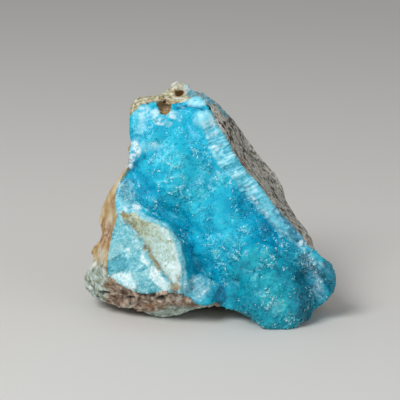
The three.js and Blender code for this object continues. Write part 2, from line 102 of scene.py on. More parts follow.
VEINS: list[Points] = [
    [(11.0, 38.2), (13.6, 34.4), (16.5, 31.6), (19.5, 28.2), (22.5, 25.4), (23.5, 24.6)],
    [(25.4, 24.4), (27.7, 19.9), (29.7, 16.8), (31.1, 13.4), (29.4, 9.5), (28.6, 8.7)],
    [(27.7, 19.9), (30.4, 19.2), (33.0, 16.4)],
    [(0.9, 45.4), (1.6, 44.1), (2.9, 43.5)],
    [(-22.6, 46.8), (-23.3, 44.8), (-24.2, 42.2), (-25.3, 39.5), (-25.8, 36.5)],
    [(-7.6, 62.4), (-5.4, 63.2), (-2.0, 63.4)],
]


class Slot(Enum):
    """The record's material slots."""

    CRUST = "hemimorphite"
    ROCK = "host_rock"


class Node(Enum):
    """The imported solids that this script's pieces stand for."""

    CRUST = "hemimorphite_crust"
    ROCK = "host_rock"


def rise(low: float, high: float, x: Array) -> Array:
    """Rises smoothly from 0 where x is low to 1 where it is high; low may be the larger."""
    t = np.clip((x - low) / (high - low), 0.0, 1.0)
    return t * t * (3.0 - 2.0 * t)


def hashed(i: Array, j: Array, k: Array, seed: int) -> Array:
    """A repeatable random value for each corner of a grid.

    Args:
        i: the corner's first index.
        j: its second.
        k: its third.
        seed: a whole number that picks the pattern.

    Returns:
        Values from 0 to 1.
    """
    h = (i * 374761393 + j * 668265263 + k * 1274126177 + seed * 974634777) & 0xFFFFFFFF
    h = ((h ^ (h >> 13)) * 1103515245) & 0xFFFFFFFF
    h = ((h ^ (h >> 15)) * 2246822519) & 0xFFFFFFFF
    return ((h ^ (h >> 16)) & 0xFFFFFF) / float(0xFFFFFF)


def noise(points: Array, size: float, seed: int) -> Array:
    """Smooth noise in space.

    Args:
        points: places in millimetres, one row each.
        size: the length over which it changes.
        seed: picks the pattern.

    Returns:
        Values from -1 to 1.
    """
    p = points / size
    base = np.floor(p)
    t = p - base
    t = t * t * (3.0 - 2.0 * t)
    i, j, k = (base[:, axis].astype(np.int64) for axis in range(3))
    total = np.zeros(len(p))
    for a in (0, 1):
        for b in (0, 1):
            for c in (0, 1):
                share = (
                    (t[:, 0] if a else 1 - t[:, 0])
                    * (t[:, 1] if b else 1 - t[:, 1])
                    * (t[:, 2] if c else 1 - t[:, 2])
                )
                total += share * hashed(i + a, j + b, k + c, seed)
    return 2.0 * total - 1.0


@dataclass(frozen=True)
class Cells:
    """Which grain of a granular pattern each place is in."""

    nearest: Array
    second: Array
    own: Array
    offset: Array

    @classmethod
    def of(cls, points: Array, size: float, seed: int) -> "Cells":
        """Finds the nearest grain centres.

        Args:
            points: places in millimetres, one row each.
            size: the spacing of the grains.
            seed: picks the pattern.

        Returns:
            Distances to the nearest two centres in sizes, a random value for the grain, and the offset
            from its centre.
        """
        p = points / size
        base = np.floor(p).astype(np.int64)
        count = len(p)
        nearest = np.full(count, 9.0)
        second = np.full(count, 9.0)
        own = np.zeros(count)
        offset = np.zeros((count, 3))
        for step in np.ndindex(3, 3, 3):
            cell = base + np.array(step) - 1
            i, j, k = cell[:, 0], cell[:, 1], cell[:, 2]
            centre = cell + np.stack([hashed(i, j, k, seed + n) for n in (1, 2, 3)], axis=1)
            away = p - centre
            distance = np.sqrt((away**2).sum(axis=1))
            closer = distance < nearest
            second = np.where(closer, nearest, np.minimum(second, distance))
            nearest = np.where(closer, distance, nearest)
            own = np.where(closer, hashed(i, j, k, seed + 4), own)
            offset[closer] = away[closer]
        return cls(nearest, second, own, offset)

    def facets(self) -> Array:
        """Gives each grain one flat, tilted facet.

        Returns:
            Heights from about -0.6 to 0.6.
        """
        turn = self.own * 2.0 * math.pi * 7.0
        lift = np.modf(self.own * 13.0)[0] - 0.5
        tilt = np.cos(turn) * self.offset[:, 0] + np.sin(turn) * self.offset[:, 1]
        return tilt + 0.7 * self.offset[:, 2] * np.sin(3.0 * turn) + 0.5 * lift

    def borders(self, width: float) -> Array:
        """One on the borders between grains, falling to 0 within width sizes."""
        return rise(width, 0.0, self.second - self.nearest)


@dataclass(frozen=True)
class LeaningFace:
    """How the stone's front leans and where the camera is, as its solids were laid out."""

    lean: float = math.radians(15)
    eye_distance: float = 450.0
    eye_across: float = -2.8
    eye_up: float = 36.4
    foot_height: float = -1.3
    middle_depth: float = 16.7
    middle_across: float = -0.5

    def standing(self) -> Matrix:
        """The turn and move from the leaning face to the standing stone, in millimetres."""
        place = Matrix.Translation((-self.middle_across, -self.middle_depth, self.foot_height))
        return place @ Matrix.Rotation(math.pi / 2 - self.lean, 4, "X")

    def seen(self, points: Array) -> tuple[Array, Array, Array]:
        """Where the camera sees places of the standing stone.

        Args:
            points: places in millimetres, one row each.

        Returns:
            Across and up as they appear, and out.
        """
        back = np.array(self.standing().inverted())
        face = points @ back[:3, :3].T + back[:3, 3]
        nearness = 1.0 - face[:, 2] / self.eye_distance
        across = self.eye_across + (face[:, 0] - self.eye_across) / nearness
        up = self.eye_up + (face[:, 1] - self.eye_up) / nearness
        return across, up, face[:, 2]


FACE = LeaningFace()


@dataclass(frozen=True)
class Trace:
    """A line drawn over the stone's front."""

    points: Points

    def nearest(self, across: Array, up: Array) -> tuple[Array, Array, Array]:
        """Measures places against the line.

        Args:
            across: the places.
            up: the places.

        Returns:
            The distance, the side of the line's direction (1 to its left, -1 to its right) and how far
            along it the nearest point is, in millimetres.
        """
        best = np.full(len(across), 1e9)
        side = np.zeros(len(across))
        along = np.zeros(len(across))
        walked = 0.0
        for (ax, ay), (bx, by) in zip(self.points, self.points[1:]):
            dx, dy = bx - ax, by - ay
            length = math.hypot(dx, dy)
            px, py = across - ax, up - ay
            t = np.clip((px * dx + py * dy) / length**2, 0.0, 1.0)
            distance = np.hypot(px - t * dx, py - t * dy)
            closer = distance < best - 1e-9
            best = np.where(closer, distance, best)
            side = np.where(closer, np.sign(dx * py - dy * px), side)
            along = np.where(closer, walked + t * length, along)
            walked += length
        return best, side, along

    def near(self, across: Array, up: Array, width: float) -> Array:
        """One on the line, falling off within about width."""
        return np.exp(-((self.nearest(across, up)[0] / width) ** 2))

    def inside(self, across: Array, up: Array) -> Array:
        """Depth inside the line, closed from its end to its start; negative outside it.

        Args:
            across: the places.
            up: the places.

        Returns:
            The signed distance.
        """
        closed = self.points + self.points[:1]
        odd = np.zeros(len(across), dtype=bool)
        for (ax, ay), (bx, by) in zip(closed, closed[1:]):
            if ay == by:
                continue
            crosses = ((ay > up) != (by > up)) & (across < (bx - ax) * (up - ay) / (by - ay) + ax)
            odd ^= crosses
        distance = Trace(closed).nearest(across, up)[0]
        return np.where(odd, distance, -distance)


@dataclass(frozen=True)
class Patch:
    """A soft oval spot on the stone's front."""

    across: float
    up: float
    wide: float
    tall: float
    turn: float = 0.0
    strength: float = 1.0

    def cover(self, across: Array, up: Array, ragged: Array) -> Array:
        """How much the spot covers each place.

        Args:
            across: the places.
            up: the places.
            ragged: noise that breaks up the spot's edge.

        Returns:
            Values from 0 to the spot's strength.
        """
        c, s = math.cos(math.radians(self.turn)), math.sin(math.radians(self.turn))
        x, y = across - self.across, up - self.up
        reach = np.hypot((x * c + y * s) / self.wide, (y * c - x * s) / self.tall)
        return self.strength * rise(1.15, 0.55, reach + 0.4 * ragged)


def patches(*rows: tuple[float, ...]) -> tuple[Patch, ...]:
    """Spots from rows of numbers: across, up, wide, tall, turn and strength."""
    return tuple(Patch(*row) for row in rows)


def spots(group: tuple[Patch, ...], across: Array, up: Array, ragged: Array) -> Array:
    """The strongest cover of a group of spots; ragged is noise that breaks up their edges."""
    return np.max([patch.cover(across, up, ragged) for patch in group], axis=0)


@dataclass(frozen=True)
class CleavedFacet:
    """A plane along which the wedge's face broke."""

    outline: Points
    shade: float
    tilt: tuple[float, float]

    def cover(self, across: Array, up: Array, ragged: Array) -> Array:
        """One inside the plane's outline, whose edge noise breaks up a little."""
        return rise(-0.2, 0.2, Trace(self.outline).inside(across, up) + 0.35 * ragged)

    def height(self, across: Array, up: Array) -> Array:
        """How far the tilted plane stands over the face.

        Args:
            across: the places.
            up: the places.

        Returns:
            Heights in millimetres.
        """
        middle_across, middle_up = np.mean(self.outline, axis=0)
        height = self.tilt[0] * (across - middle_across) + self.tilt[1] * (up - middle_up)
        return np.clip(height, -0.8, 0.8)


def cleaved(*rows: tuple[Points, float, tuple[float, float]]) -> tuple[CleavedFacet, ...]:
    """Broken planes from rows of outline, shade and tilt."""
    return tuple(CleavedFacet(*row) for row in rows)


def linear(colour: Colour) -> tuple[float, float, float, float]:
    """Turns a colour into the renderer's own linear values.

    Args:
        colour: its red, green and blue, from 0 to 255.

    Returns:
        The same with its opacity, from 0 to 1.
    """
    channels = (value / 255 for value in colour)
    red, green, blue = (v / 12.92 if v < 0.04045 else ((v + 0.055) / 1.055) ** 2.4 for v in channels)
    return red, green, blue, 1.0


@dataclass(frozen=True)
class Layer:
    """A colour that shows where the mesh's attribute of this name is high."""

    attribute: str
    colours: tuple[Colour, ...]
    grain: float = 1.2
    strength: float = 1.0
    shade: str = ""


class NodeTree:
    """A material's nodes, added one by one."""

    def __init__(self, name: str, constants: dict[str, object]) -> None:
        """Starts a material.

        Args:
            name: its name.
            constants: what the shader's own sockets are set to.
        """
        self.material = bpy.data.materials.new(name)
        self.material.use_nodes = True
        self.nodes = self.material.node_tree.nodes
        self.shader = self.nodes["Principled BSDF"]
        self.feed(self.shader, constants)

    def feed(self, node: bpy.types.Node, feeds: dict[str | int, object]) -> None:
        """Sets a node's sockets or links other sockets to them.

        Args:
            node: the node.
            feeds: a value or another socket for each of its sockets, by name or number.
        """
        for name, value in feeds.items():
            if isinstance(value, Socket):
                self.material.node_tree.links.new(value, node.inputs[name])
            else:
                node.inputs[name].default_value = value

    def add(self, kind: str, feeds: dict[str | int, object], **settings: object) -> bpy.types.Node:
        """Adds a node.

        Args:
            kind: its type, without the ShaderNode in front.
            feeds: what its sockets get.
            settings: its other settings.

        Returns:
            The node.
        """
        node = self.nodes.new("ShaderNode" + kind)
        for name, value in settings.items():
            setattr(node, name, value)
        self.feed(node, feeds)
        return node

    def attribute(self, name: str) -> Socket:
        """The value that the mesh holds under a name."""
        return self.add("Attribute", {}, attribute_name=name).outputs["Fac"]

    def place(self) -> Socket:
        """The object's own coordinates."""
        return self.add("TexCoord", {}).outputs["Object"]

    def drawn_out(self, along: Vector, length: float) -> Socket:
        """The object's coordinates, squeezed along a direction so that a pattern is drawn out that way.

        Args:
            along: the direction.
            length: how many times longer the pattern gets.

        Returns:
            The new coordinates.
        """
        turned = along.rotation_difference(Vector((1, 0, 0))).to_euler()
        turn = self.add("Mapping", {"Vector": self.place(), "Rotation": turned})
        squeeze = self.add("Mapping", {"Vector": turn.outputs["Vector"], "Scale": (1 / length, 1, 1)})
        return squeeze.outputs["Vector"]

    def noise(self, size: float, detail: float = 2.0, place: Socket | None = None) -> Socket:
        """Noise in space, from 0 to 1, with its size in millimetres and detail finer sizes added."""
        feeds = {"Vector": place or self.place(), "Scale": 1 / (size * MM), "Detail": detail}
        return self.add("TexNoise", feeds).outputs["Fac"]

    def maths(self, operation: str, a: Socket | float, b: Socket | float) -> Socket:
        """Combines two sockets or numbers, and keeps the result from 0 to 1."""
        return self.add("Math", {0: a, 1: b}, operation=operation, use_clamp=True).outputs[0]

    def spread(self, value: Socket, low: float, high: float) -> Socket:
        """Stretches a value so that low becomes 0 and high becomes 1."""
        return self.add("MapRange", {"Value": value, "From Min": low, "From Max": high}).outputs["Result"]

    def ramp(self, value: Socket, colours: tuple[Colour, ...]) -> Socket:
        """Turns a value from 0 to 1 into evenly spaced colours.

        Args:
            value: the value.
            colours: from the colour at 0 to the colour at 1.

        Returns:
            The colour.
        """
        node = self.add("ValToRGB", {"Fac": value})
        stops = node.color_ramp.elements
        stops[0].color = linear(colours[0])
        stops[1].color = linear(colours[-1])
        for i, colour in enumerate(colours[1:-1], start=1):
            stops.new(i / (len(colours) - 1)).color = linear(colour)
        return node.outputs["Color"]

    def over(self, below: Socket, colour: Colour | Socket, share: Socket) -> Socket:
        """Lays a colour over the one below, so that a share of it shows."""
        top = linear(colour) if isinstance(colour, tuple) else colour
        return self.add("Mix", {"Factor": share, 6: below, 7: top}, data_type="RGBA").outputs[2]

    def lay_over(self, colour: Socket, layers: tuple[Layer, ...]) -> Socket:
        """Lays layers over a colour, each shaded by noise and by its own shade attribute if it has one.

        Args:
            colour: the colour beneath.
            layers: from the lowest to the topmost.

        Returns:
            The finished colour.
        """
        for layer in layers:
            shade = self.spread(self.noise(layer.grain, 3.0), 0.3, 0.7)
            if layer.shade:
                own = self.maths("MULTIPLY", self.attribute(layer.shade), 0.7)
                shade = self.maths("ADD", own, self.maths("MULTIPLY", shade, 0.3))
            share = self.maths("MULTIPLY", self.attribute(layer.attribute), layer.strength)
            colour = self.over(colour, self.ramp(shade, layer.colours), share)
        return colour

    def bump(self, height: Socket, depth: float, strength: float) -> None:
        """Roughens the surface with a relief that is some depth in millimetres."""
        node = self.add("Bump", {"Height": height, "Strength": strength, "Distance": depth * MM})
        self.feed(self.shader, {"Normal": node.outputs["Normal"]})


@dataclass(frozen=True)
class CrustFinish:
    """The blue crystal crust, from its deep hollows to its white broken edges."""

    blues: tuple[Colour, ...] = ((0, 104, 138), (0, 146, 186), (2, 174, 210), (38, 198, 226), (122, 224, 238))
    layers: tuple[Layer, ...] = (
        Layer(
            "green", ((0, 76, 98), (0, 120, 146), (2, 152, 176), (40, 182, 196), (124, 212, 220)),
            1.0, 1.0, "tone",
        ),
        Layer("pale", ((98, 204, 228), (134, 218, 238), (184, 235, 245)), 2.0),
        Layer("veil", ((58, 160, 184), (156, 220, 230)), 0.9),
        Layer(
            "cream", ((118, 108, 82), (166, 178, 152), (180, 212, 208), (228, 243, 246)), 0.6, 1.0, "cleavage"
        ),
        Layer(
            "mottle", ((44, 138, 158), (100, 182, 198), (158, 214, 221), (244, 251, 251)),
            0.6, 1.0, "cleavage",
        ),
        Layer("band", ((40, 146, 172), (92, 190, 212), (150, 220, 236), (244, 252, 253)), 0.7, 1.0, "fibre"),
        Layer("slate", ((20, 92, 122), (50, 134, 164), (136, 194, 212)), 1.2),
        Layer("lip", ((76, 176, 196), (134, 208, 220), (198, 234, 240)), 0.9, 0.75),
        # White streaks, the ledge and veins, with a painted highlight streak on the foot.
        Layer("white", ((186, 228, 240), (244, 252, 254)), 0.6),
        Layer("rust", ((92, 62, 42), (150, 110, 70), (158, 146, 96), (112, 112, 66)), 1.2, 0.85),
        Layer("amber", ((146, 118, 70), (184, 156, 104)), 1.4),
        # Painted glints: a pale colour on the crystals turned to catch the light.
        Layer("painted_glint", ((158, 238, 252), (240, 255, 255)), 1.0),
    )
    roughness: float = 0.32
    sheen_of_facets: float = 0.36
    depth_of_light: float = 0.12

    def material(self) -> bpy.types.Material:
        """Builds the material.

        Returns:
            The material.
        """
        constants = {
            "Roughness": self.roughness,
            "Specular IOR Level": self.sheen_of_facets,
            "Subsurface Weight": self.depth_of_light,
            "Subsurface Radius": (0.4, 0.9, 1.0),
            "Subsurface Scale": 1.0 * MM,
        }
        tree = NodeTree(Slot.CRUST.value, constants)
        fine = tree.maths("MULTIPLY", tree.spread(tree.noise(0.7, 3.0), 0.42, 0.7), 0.11)
        broad = tree.maths("MULTIPLY", tree.spread(tree.noise(3.4), 0.45, 0.7), 0.1)
        tone = tree.maths("SUBTRACT", tree.maths("ADD", tree.attribute("tone"), fine), broad)
        tree.feed(tree.shader, {"Base Color": tree.lay_over(tree.ramp(tone, self.blues), self.layers)})
        tree.bump(tree.noise(0.45, 3.0), 0.2, 0.4)
        return tree.material


@dataclass(frozen=True)
class RockFinish:
    """The host rock: brown and pitted, ochre on one flank and speckled grey on the other."""

    browns: tuple[Colour, ...] = ((88, 74, 60), (126, 108, 88), (156, 140, 116), (178, 164, 140))
    layers: tuple[Layer, ...] = (
        Layer("grey", ((120, 118, 108), (166, 165, 156), (206, 204, 196)), 0.7),
        Layer("ochre", ((168, 136, 86), (190, 164, 116), (212, 196, 160)), 3.0),
        Layer("cream_rim", ((88, 78, 60), (160, 150, 112), (188, 186, 158), (228, 228, 212)), 1.0),
        Layer("rosy", ((88, 64, 48), (146, 120, 100), (188, 168, 148), (226, 218, 206)), 1.8),
        Layer("glassy", ((96, 108, 88), (150, 160, 140), (178, 198, 192), (230, 236, 230)), 1.5),
        Layer("teal", ((58, 112, 130), (104, 160, 176), (158, 196, 202)), 0.9),
        # White crumbs and quartz, with a painted highlight line on the glassy bulge.
        Layer("white", ((200, 212, 204), (238, 240, 234)), 0.8),
        Layer("amber", ((176, 150, 118), (204, 184, 150)), 1.0),
        Layer("rust", ((112, 66, 34), (164, 112, 60)), 0.9),
        # Painted shade: near black in pits, cavities and the gaps between chunks.
        Layer("painted_hollow_shade", ((30, 27, 24), (58, 50, 42)), 0.8),
    )
    fleck: Colour = (50, 47, 42)
    fleck_size: float = 0.8
    fleck_length: float = 2.2
    roughness: float = 0.82
    glassy_roughness: float = 0.35

    def material(self) -> bpy.types.Material:
        """Builds the material.

        Returns:
            The material.
        """
        tree = NodeTree(Slot.ROCK.value, {})
        fine = tree.spread(tree.noise(0.8, 4.0), 0.35, 0.65)
        tone = tree.maths("ADD", tree.attribute("tone"), tree.maths("MULTIPLY", fine, 0.4))
        colour = tree.lay_over(tree.ramp(tone, self.browns), self.layers)
        along = FACE.standing().to_3x3() @ Vector((*RIM_DIRECTION, 0.0))
        drawn = tree.noise(self.fleck_size, 3.0, tree.drawn_out(along, self.fleck_length))
        crowding = tree.maths("MULTIPLY", tree.spread(tree.noise(3.5), 0.35, 0.65), 0.12)
        drawn = tree.maths("ADD", drawn, crowding)
        flecks = tree.maths("MULTIPLY", tree.spread(drawn, 0.56, 0.66), tree.attribute("flecked"))
        polish = tree.maths("MULTIPLY", tree.attribute("glassy"), self.roughness - self.glassy_roughness)
        rough = tree.maths("SUBTRACT", self.roughness, polish)
        tree.feed(tree.shader, {"Base Color": tree.over(colour, self.fleck, flecks), "Roughness": rough})
        tree.bump(tree.noise(0.5, 4.0), 0.25, 0.6)
        return tree.material


def into_scene(name: str, data: bpy.types.ID) -> bpy.types.Object:
    """Makes an object and links it to the scene.

    Args:
        name: its name.
        data: its mesh, light or camera.

    Returns:
        The object.
    """
    made = bpy.data.objects.new(name, data)
    bpy.context.scene.collection.objects.link(made)
    return made


def keep_values(mesh: bpy.types.Mesh, name: str, values: Array) -> None:
    """Keeps a value from 0 to 1 for each point of a mesh, under a name."""
    attribute = mesh.attributes.new(name, "FLOAT", "POINT")
    attribute.data.foreach_set("value", np.clip(values, 0.0, 1.0).astype(np.float32))


def kept_in_box(points: Array) -> Array:
    """Points in millimetres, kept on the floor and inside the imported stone's box."""
    low, high = (np.array(corner) / MM for corner in CAD_BOX)
    return np.clip(points, low, high)


class Surface:
    """A mesh's points as rows of numbers in millimetres, with where the camera sees them."""

    def __init__(self, obj: bpy.types.Object) -> None:
        """Reads the points and normals.

        Args:
            obj: an object with a mesh.
        """
        self.obj = obj
        self.count = len(obj.data.vertices)
        self.points = self.read("co") / MM
        self.normals = self.read("normal")
        self.across, self.up, self.out = FACE.seen(self.points)

    def read(self, name: str) -> Array:
        """Reads one vector for each point.

        Args:
            name: what Blender calls it.

        Returns:
            The vectors, one row each.
        """
        values = np.zeros(self.count * 3)
        self.obj.data.vertices.foreach_get(name, values)
        return values.reshape(-1, 3)

    def rough(self, size: float, seed: int) -> Array:
        """Noise of three sizes at the points, each half as large and half as strong as the one before.

        Args:
            size: the largest size, in millimetres.
            seed: picks the pattern.

        Returns:
            Values around 0, rarely past 1.
        """
        total = np.zeros(self.count)
        for octave in range(3):
            total += noise(self.points, size / 2**octave, seed + 17 * octave) / 2**octave
        return total / 1.4

    def bent(self, size: float, bend: float, seed: int) -> Array:
        """The points, moved about by noise of this size as far as bend, both in millimetres."""
        return self.points + bend * np.stack([self.rough(size, seed + axis) for axis in range(3)], axis=1)

    def push(self, amount: Array) -> None:
        """Moves each point along its normal, by millimetres."""
        self.points = self.points + self.normals * amount[:, None]

    def write(self) -> None:
        """Writes the points back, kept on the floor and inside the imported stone's box."""
        self.points = kept_in_box(self.points)
        self.obj.data.vertices.foreach_set("co", (self.points * MM).ravel())
        self.obj.data.update()
        self.normals = self.read("normal")

    def nearest_on(self, node: Node, reach: float) -> tuple[Array, Array]:
        """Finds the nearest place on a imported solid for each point.

        Args:
            node: the solid.
            reach: how far from a point it may be, in millimetres.

        Returns:
            The places, and how far away they are in metres, infinite where there is none.
        """
        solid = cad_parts[node.value].data
        corners = [v.co for v in solid.vertices]
        tree = BVHTree.FromPolygons(corners, [tuple(p.vertices) for p in solid.polygons])
        places = np.zeros((self.count, 3))
        distances = np.full(self.count, np.inf)
        for i, place in enumerate(self.points):
            found, _, _, distance = tree.find_nearest(Vector(place * MM), reach * MM)
            if found is not None:
                places[i] = found
                distances[i] = distance
        return places / MM, distances


@dataclass
class StonePiece(ABC):
    """One of the two grown-together pieces of the stone, as a fine copy of its solid."""

    node: Node
    slot: Slot
    voxel: float
    smoothing: int
    masks: SimpleNamespace = field(default_factory=SimpleNamespace)
    surface: Surface = field(init=False)

    def parts(self) -> tuple[Surface, SimpleNamespace, Array, Array]:
        """The surface, its masks, and its points' places across and up."""
        return self.surface, self.masks, self.surface.across, self.surface.up

    def fine_copy(self) -> Surface:
        """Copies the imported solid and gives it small, even faces.

        Returns:
            The new mesh's surface.
        """
        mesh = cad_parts[self.node.value].data.copy()
        mesh.materials.clear()
        shell = bmesh.new()
        shell.from_mesh(mesh)
        bmesh.ops.remove_doubles(shell, verts=shell.verts, dist=0.001 * MM)
        shell.to_mesh(mesh)
        shell.free()
        coarse = into_scene("coarse", mesh)
        remesh = coarse.modifiers.new("even", "REMESH")
        remesh.mode = "VOXEL"
        remesh.voxel_size = self.voxel * MM
        smooth = coarse.modifiers.new("smooth", "SMOOTH")
        smooth.iterations = self.smoothing
        evaluated = coarse.evaluated_get(bpy.context.evaluated_depsgraph_get())
        fine = bpy.data.meshes.new_from_object(evaluated)
        for attribute in [a for a in fine.attributes if a.data_type == "FLOAT" and not a.is_internal]:
            fine.attributes.remove(attribute)
        bpy.data.objects.remove(coarse)
        return Surface(into_scene(self.node.value + "_surface", fine))

    @abstractmethod
    def measure(self) -> None:
        """Works out where each kind of stone lies."""

    @abstractmethod
    def shape(self) -> None:
        """Adds the relief."""

    @abstractmethod
    def paint(self) -> None:
        """Keeps the values that the finish reads."""

    def build(self, material: bpy.types.Material) -> bpy.types.Object:
        """Makes the whole piece and gives it its place in the frame.

        Args:
            material: its finish.

        Returns:
            The finished object.
        """
        self.surface = self.fine_copy()
        self.measure()
        self.shape()
        self.surface.write()
        self.paint()
        piece = self.surface.obj
        piece.data.materials.append(material)
        piece.data.polygons.foreach_set("use_smooth", [True] * len(piece.data.polygons))
        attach(piece, "root")
        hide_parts(self.node.value)
        return piece


@dataclass
class Crust(StonePiece):
    """The blue crust."""

    node: Node = Node.CRUST
    slot: Slot = Slot.CRUST
    voxel: float = 0.32
    smoothing: int = 4
    dome_size: float = 4.4
    dome_height: float = 0.7
    arc_size: float = 2.5
    lump_size: float = 2.2
    lump_height: float = 0.24
    facet_size: float = 1.0
    facet_height: float = 0.17
    fibre_pitch: float = 0.75
    fibre_height: float = 0.38
    plane_size: float = 1.5
    plane_height: float = 0.2
    chip_size: float = 0.8
    chip_height: float = 0.32
    seam_depth: float = 0.3
    crevice_depth: float = 0.3
    hole_depth: float = 0.9
    shelf_depth: float = 0.5
    joint_reach: float = 0.62
    joint_overlap: float = 0.25
    # White streaks and crumbs; the streak low on the foot is a painted highlight.
    whites_and_highlights: tuple[Patch, ...] = patches(
        (-15.8, 60.4, 2.2, 1.3, 35, 0.75), (-14.0, 58.2, 2.0, 1.1, -10, 0.85),
        (-10.4, 60.2, 2.2, 1.2, -20, 0.8), (-8.4, 59.6, 0.8, 1.6, 0, 0.85), (-17.6, 62.6, 2.6, 0.5, 24, 0.7),
        (-18.7, 60.6, 2.4, 1.5, 30, 0.5), (-11.6, 57.6, 1.2, 0.8, 20, 0.5), (0.6, 58.2, 1.7, 1.6, -30, 0.6),
        (0.6, 54.4, 2.2, 0.9, 24, 0.55), (2.2, 51.0, 2.6, 0.8, 26, 0.6), (-20.6, 33.9, 1.2, 1.7, 30, 1.0),
        (-24.6, 33.6, 1.6, 1.2, 0, 0.6), (-2.6, 10.0, 2.9, 0.7, 40, 1.0), (-4.6, 13.8, 1.2, 0.7, 10, 0.5),
        (7.6, 44.2, 0.9, 0.7, 0, 0.8), (11.4, 39.8, 1.6, 1.4, -50, 0.4), (26.0, 24.0, 1.6, 1.4, 0, 0.9),
        (28.2, 18.6, 1.4, 2.2, 30, 0.5), (15.6, 6.2, 1.0, 0.5, -30, 0.4), (-7.0, 12.4, 0.5, 2.0, 0, 0.5),
    )
    pales: tuple[Patch, ...] = patches(
        (-17.2, 51.5, 3.4, 1.7, 8, 0.75), (-1.9, 59.0, 3.3, 2.7, -10, 1.3), (-3.6, 64.2, 4.2, 1.5, 0, 1.0),
        (-19.3, 60.5, 2.6, 3.0, 20, 0.55), (-24.6, 35.4, 2.2, 2.6, 0, 0.6), (-13.0, 60.6, 4.4, 1.6, 0, 0.4),
        (-19.4, 56.6, 2.6, 1.6, 60, 0.45),
    )
    veils: tuple[Patch, ...] = patches(
        (-23.2, 38.4, 2.6, 4.6, 10, 0.8), (-3.6, 11.4, 4.2, 3.6, 0, 0.75), (17.8, 6.4, 2.0, 3.0, 20, 0.2),
    )
    slates: tuple[Patch, ...] = patches(
        (20.8, 32.2, 6.4, 2.3, -52, 1.2), (24.2, 27.0, 4.6, 2.1, -52, 1.2), (28.0, 17.6, 5.4, 3.2, -50, 0.75),
        (30.0, 12.0, 2.2, 4.4, 20, 0.55),
    )
    rusts: tuple[Patch, ...] = patches(
        (-26.8, 34.8, 0.9, 2.0, 10, 0.8), (-24.0, 32.2, 0.9, 1.3, 30, 1.0), (-9.6, 12.0, 1.9, 1.5, 0, 0.95),
        (-9.0, 14.4, 0.6, 1.2, 10, 0.6), (-15.3, 58.6, 0.7, 0.4, 0, 0.4),
    )
    # Painted highlights: lighter tone on the tops of domes and lobes.
    lights: tuple[Patch, ...] = patches(
        (13.4, 20.0, 3.8, 3.8), (18.0, 8.6, 4.4, 4.8), (5.6, 39.6, 3.6, 2.8, -30), (-2.0, 36.6, 3.2, 4.2),
        (-9.6, 46.6, 4.6, 4.2), (4.6, 28.6, 2.8, 4.6),
    )
    # Painted shade: darker tone in clefts and hollows, beside the foot and the crevice, and down the knob's
    # right side.
    shades: tuple[Patch, ...] = patches(
        (16.2, 28.3, 2.6, 1.9, -35, 0.45), (13.7, 25.2, 1.3, 1.7, 0, 0.3), (19.0, 16.8, 2.2, 1.6, -40, 0.4),
        (3.2, 9.6, 1.7, 3.4, 5, 1.0), (26.6, 8.0, 2.0, 6.0, -8, 1.0), (33.8, 15.4, 2.6, 5.4, 12, 2.0),
        (22.4, 31.4, 1.4, 1.0, -48, 0.7), (24.2, 27.2, 1.6, 0.9, -48, 0.7), (-3.4, 18.6, 2.0, 1.6, 0, 0.5),
    )
    facets: tuple[CleavedFacet, ...] = cleaved(
        ([(-25.7, 31.1), (-24.6, 30.6), (-22.0, 27.1), (-23.9, 26.2), (-27.1, 25.3)], 0.38, (0.1, 0.1)),
        ([(-27.3, 25.3), (-23.9, 26.2), (-21.1, 23.4), (-24.3, 22.0), (-29.0, 18.8)], 0.6, (-0.15, 0.1)),
        ([(-29.2, 18.8), (-25.3, 21.1), (-22.5, 18.0), (-25.3, 16.4), (-29.2, 16.2)], 0.1, (0.1, -0.2)),
        ([(-24.2, 22.6), (-22.0, 23.3), (-21.6, 21.6), (-23.5, 20.7)], 0.95, (0.2, 0.1)),
        ([(-22.1, 24.9), (-20.0, 24.9), (-17.4, 18.2), (-21.6, 17.7), (-22.6, 20.8)], 0.42, (0.0, 0.12)),
        ([(-16.7, 18.2), (-15.3, 17.6), (-11.6, 12.6), (-12.2, 10.6), (-14.1, 11.3), (-17.1, 14.8)],
         1.2, (0.25, 0.12)),
        ([(-22.0, 16.2), (-18.8, 16.0), (-12.7, 10.6), (-18.8, 9.8), (-20.6, 11.6)], 0.42, (-0.1, 0.2)),
        ([(-28.6, 15.3), (-24.8, 16.4), (-22.0, 16.0), (-20.6, 11.6), (-26.4, 12.4)], 0.9, (0.12, -0.15)),
        ([(-19.6, 22.4), (-18.2, 21.6), (-16.2, 18.5), (-17.1, 17.5), (-19.2, 19.0)], 0.9, (0.2, -0.1)),
    )
    painted: tuple[str, ...] = (
        "tone", "green", "slate", "pale", "veil", "cream", "mottle", "cleavage", "band", "fibre", "lip",
        "white", "rust", "amber",
    )

    def measure(self) -> None:
        """Works out where each part of the crust lies on the finished surface."""
        surface, masks, a, u = self.parts()
        ragged = surface.rough(2.2, 5)
        fine = surface.rough(0.8, 7)
        front = rise(-14.0, -10.0, surface.out)
        band_distance, band_side, along = Trace(BAND_INNER_EDGE).nearest(a, u)
        beyond = band_side * band_distance + 0.5 * ragged + 0.3 * fine
        masks.ragged, masks.fine, masks.along, masks.beyond = ragged, fine, along, beyond
        masks.slate = spots(self.slates, a, u, 0.5 * ragged)
        masks.band = rise(-0.3, 0.5, beyond) * rise(56, 46, along) * rise(4, 8, along)
        masks.pale = spots(self.pales, a, u, 0.6 * ragged) * front
        masks.veil = spots(self.veils, a, u, ragged) * front
        self.measure_wedge()
        # Painted shade: the hollows beside the wedge and the band are only darkened in the tone.
        hollow = np.maximum(Trace(LEFT_HOLLOW).near(a, u, 4.4), Trace(RIGHT_HOLLOW).near(a, u, 3.2))
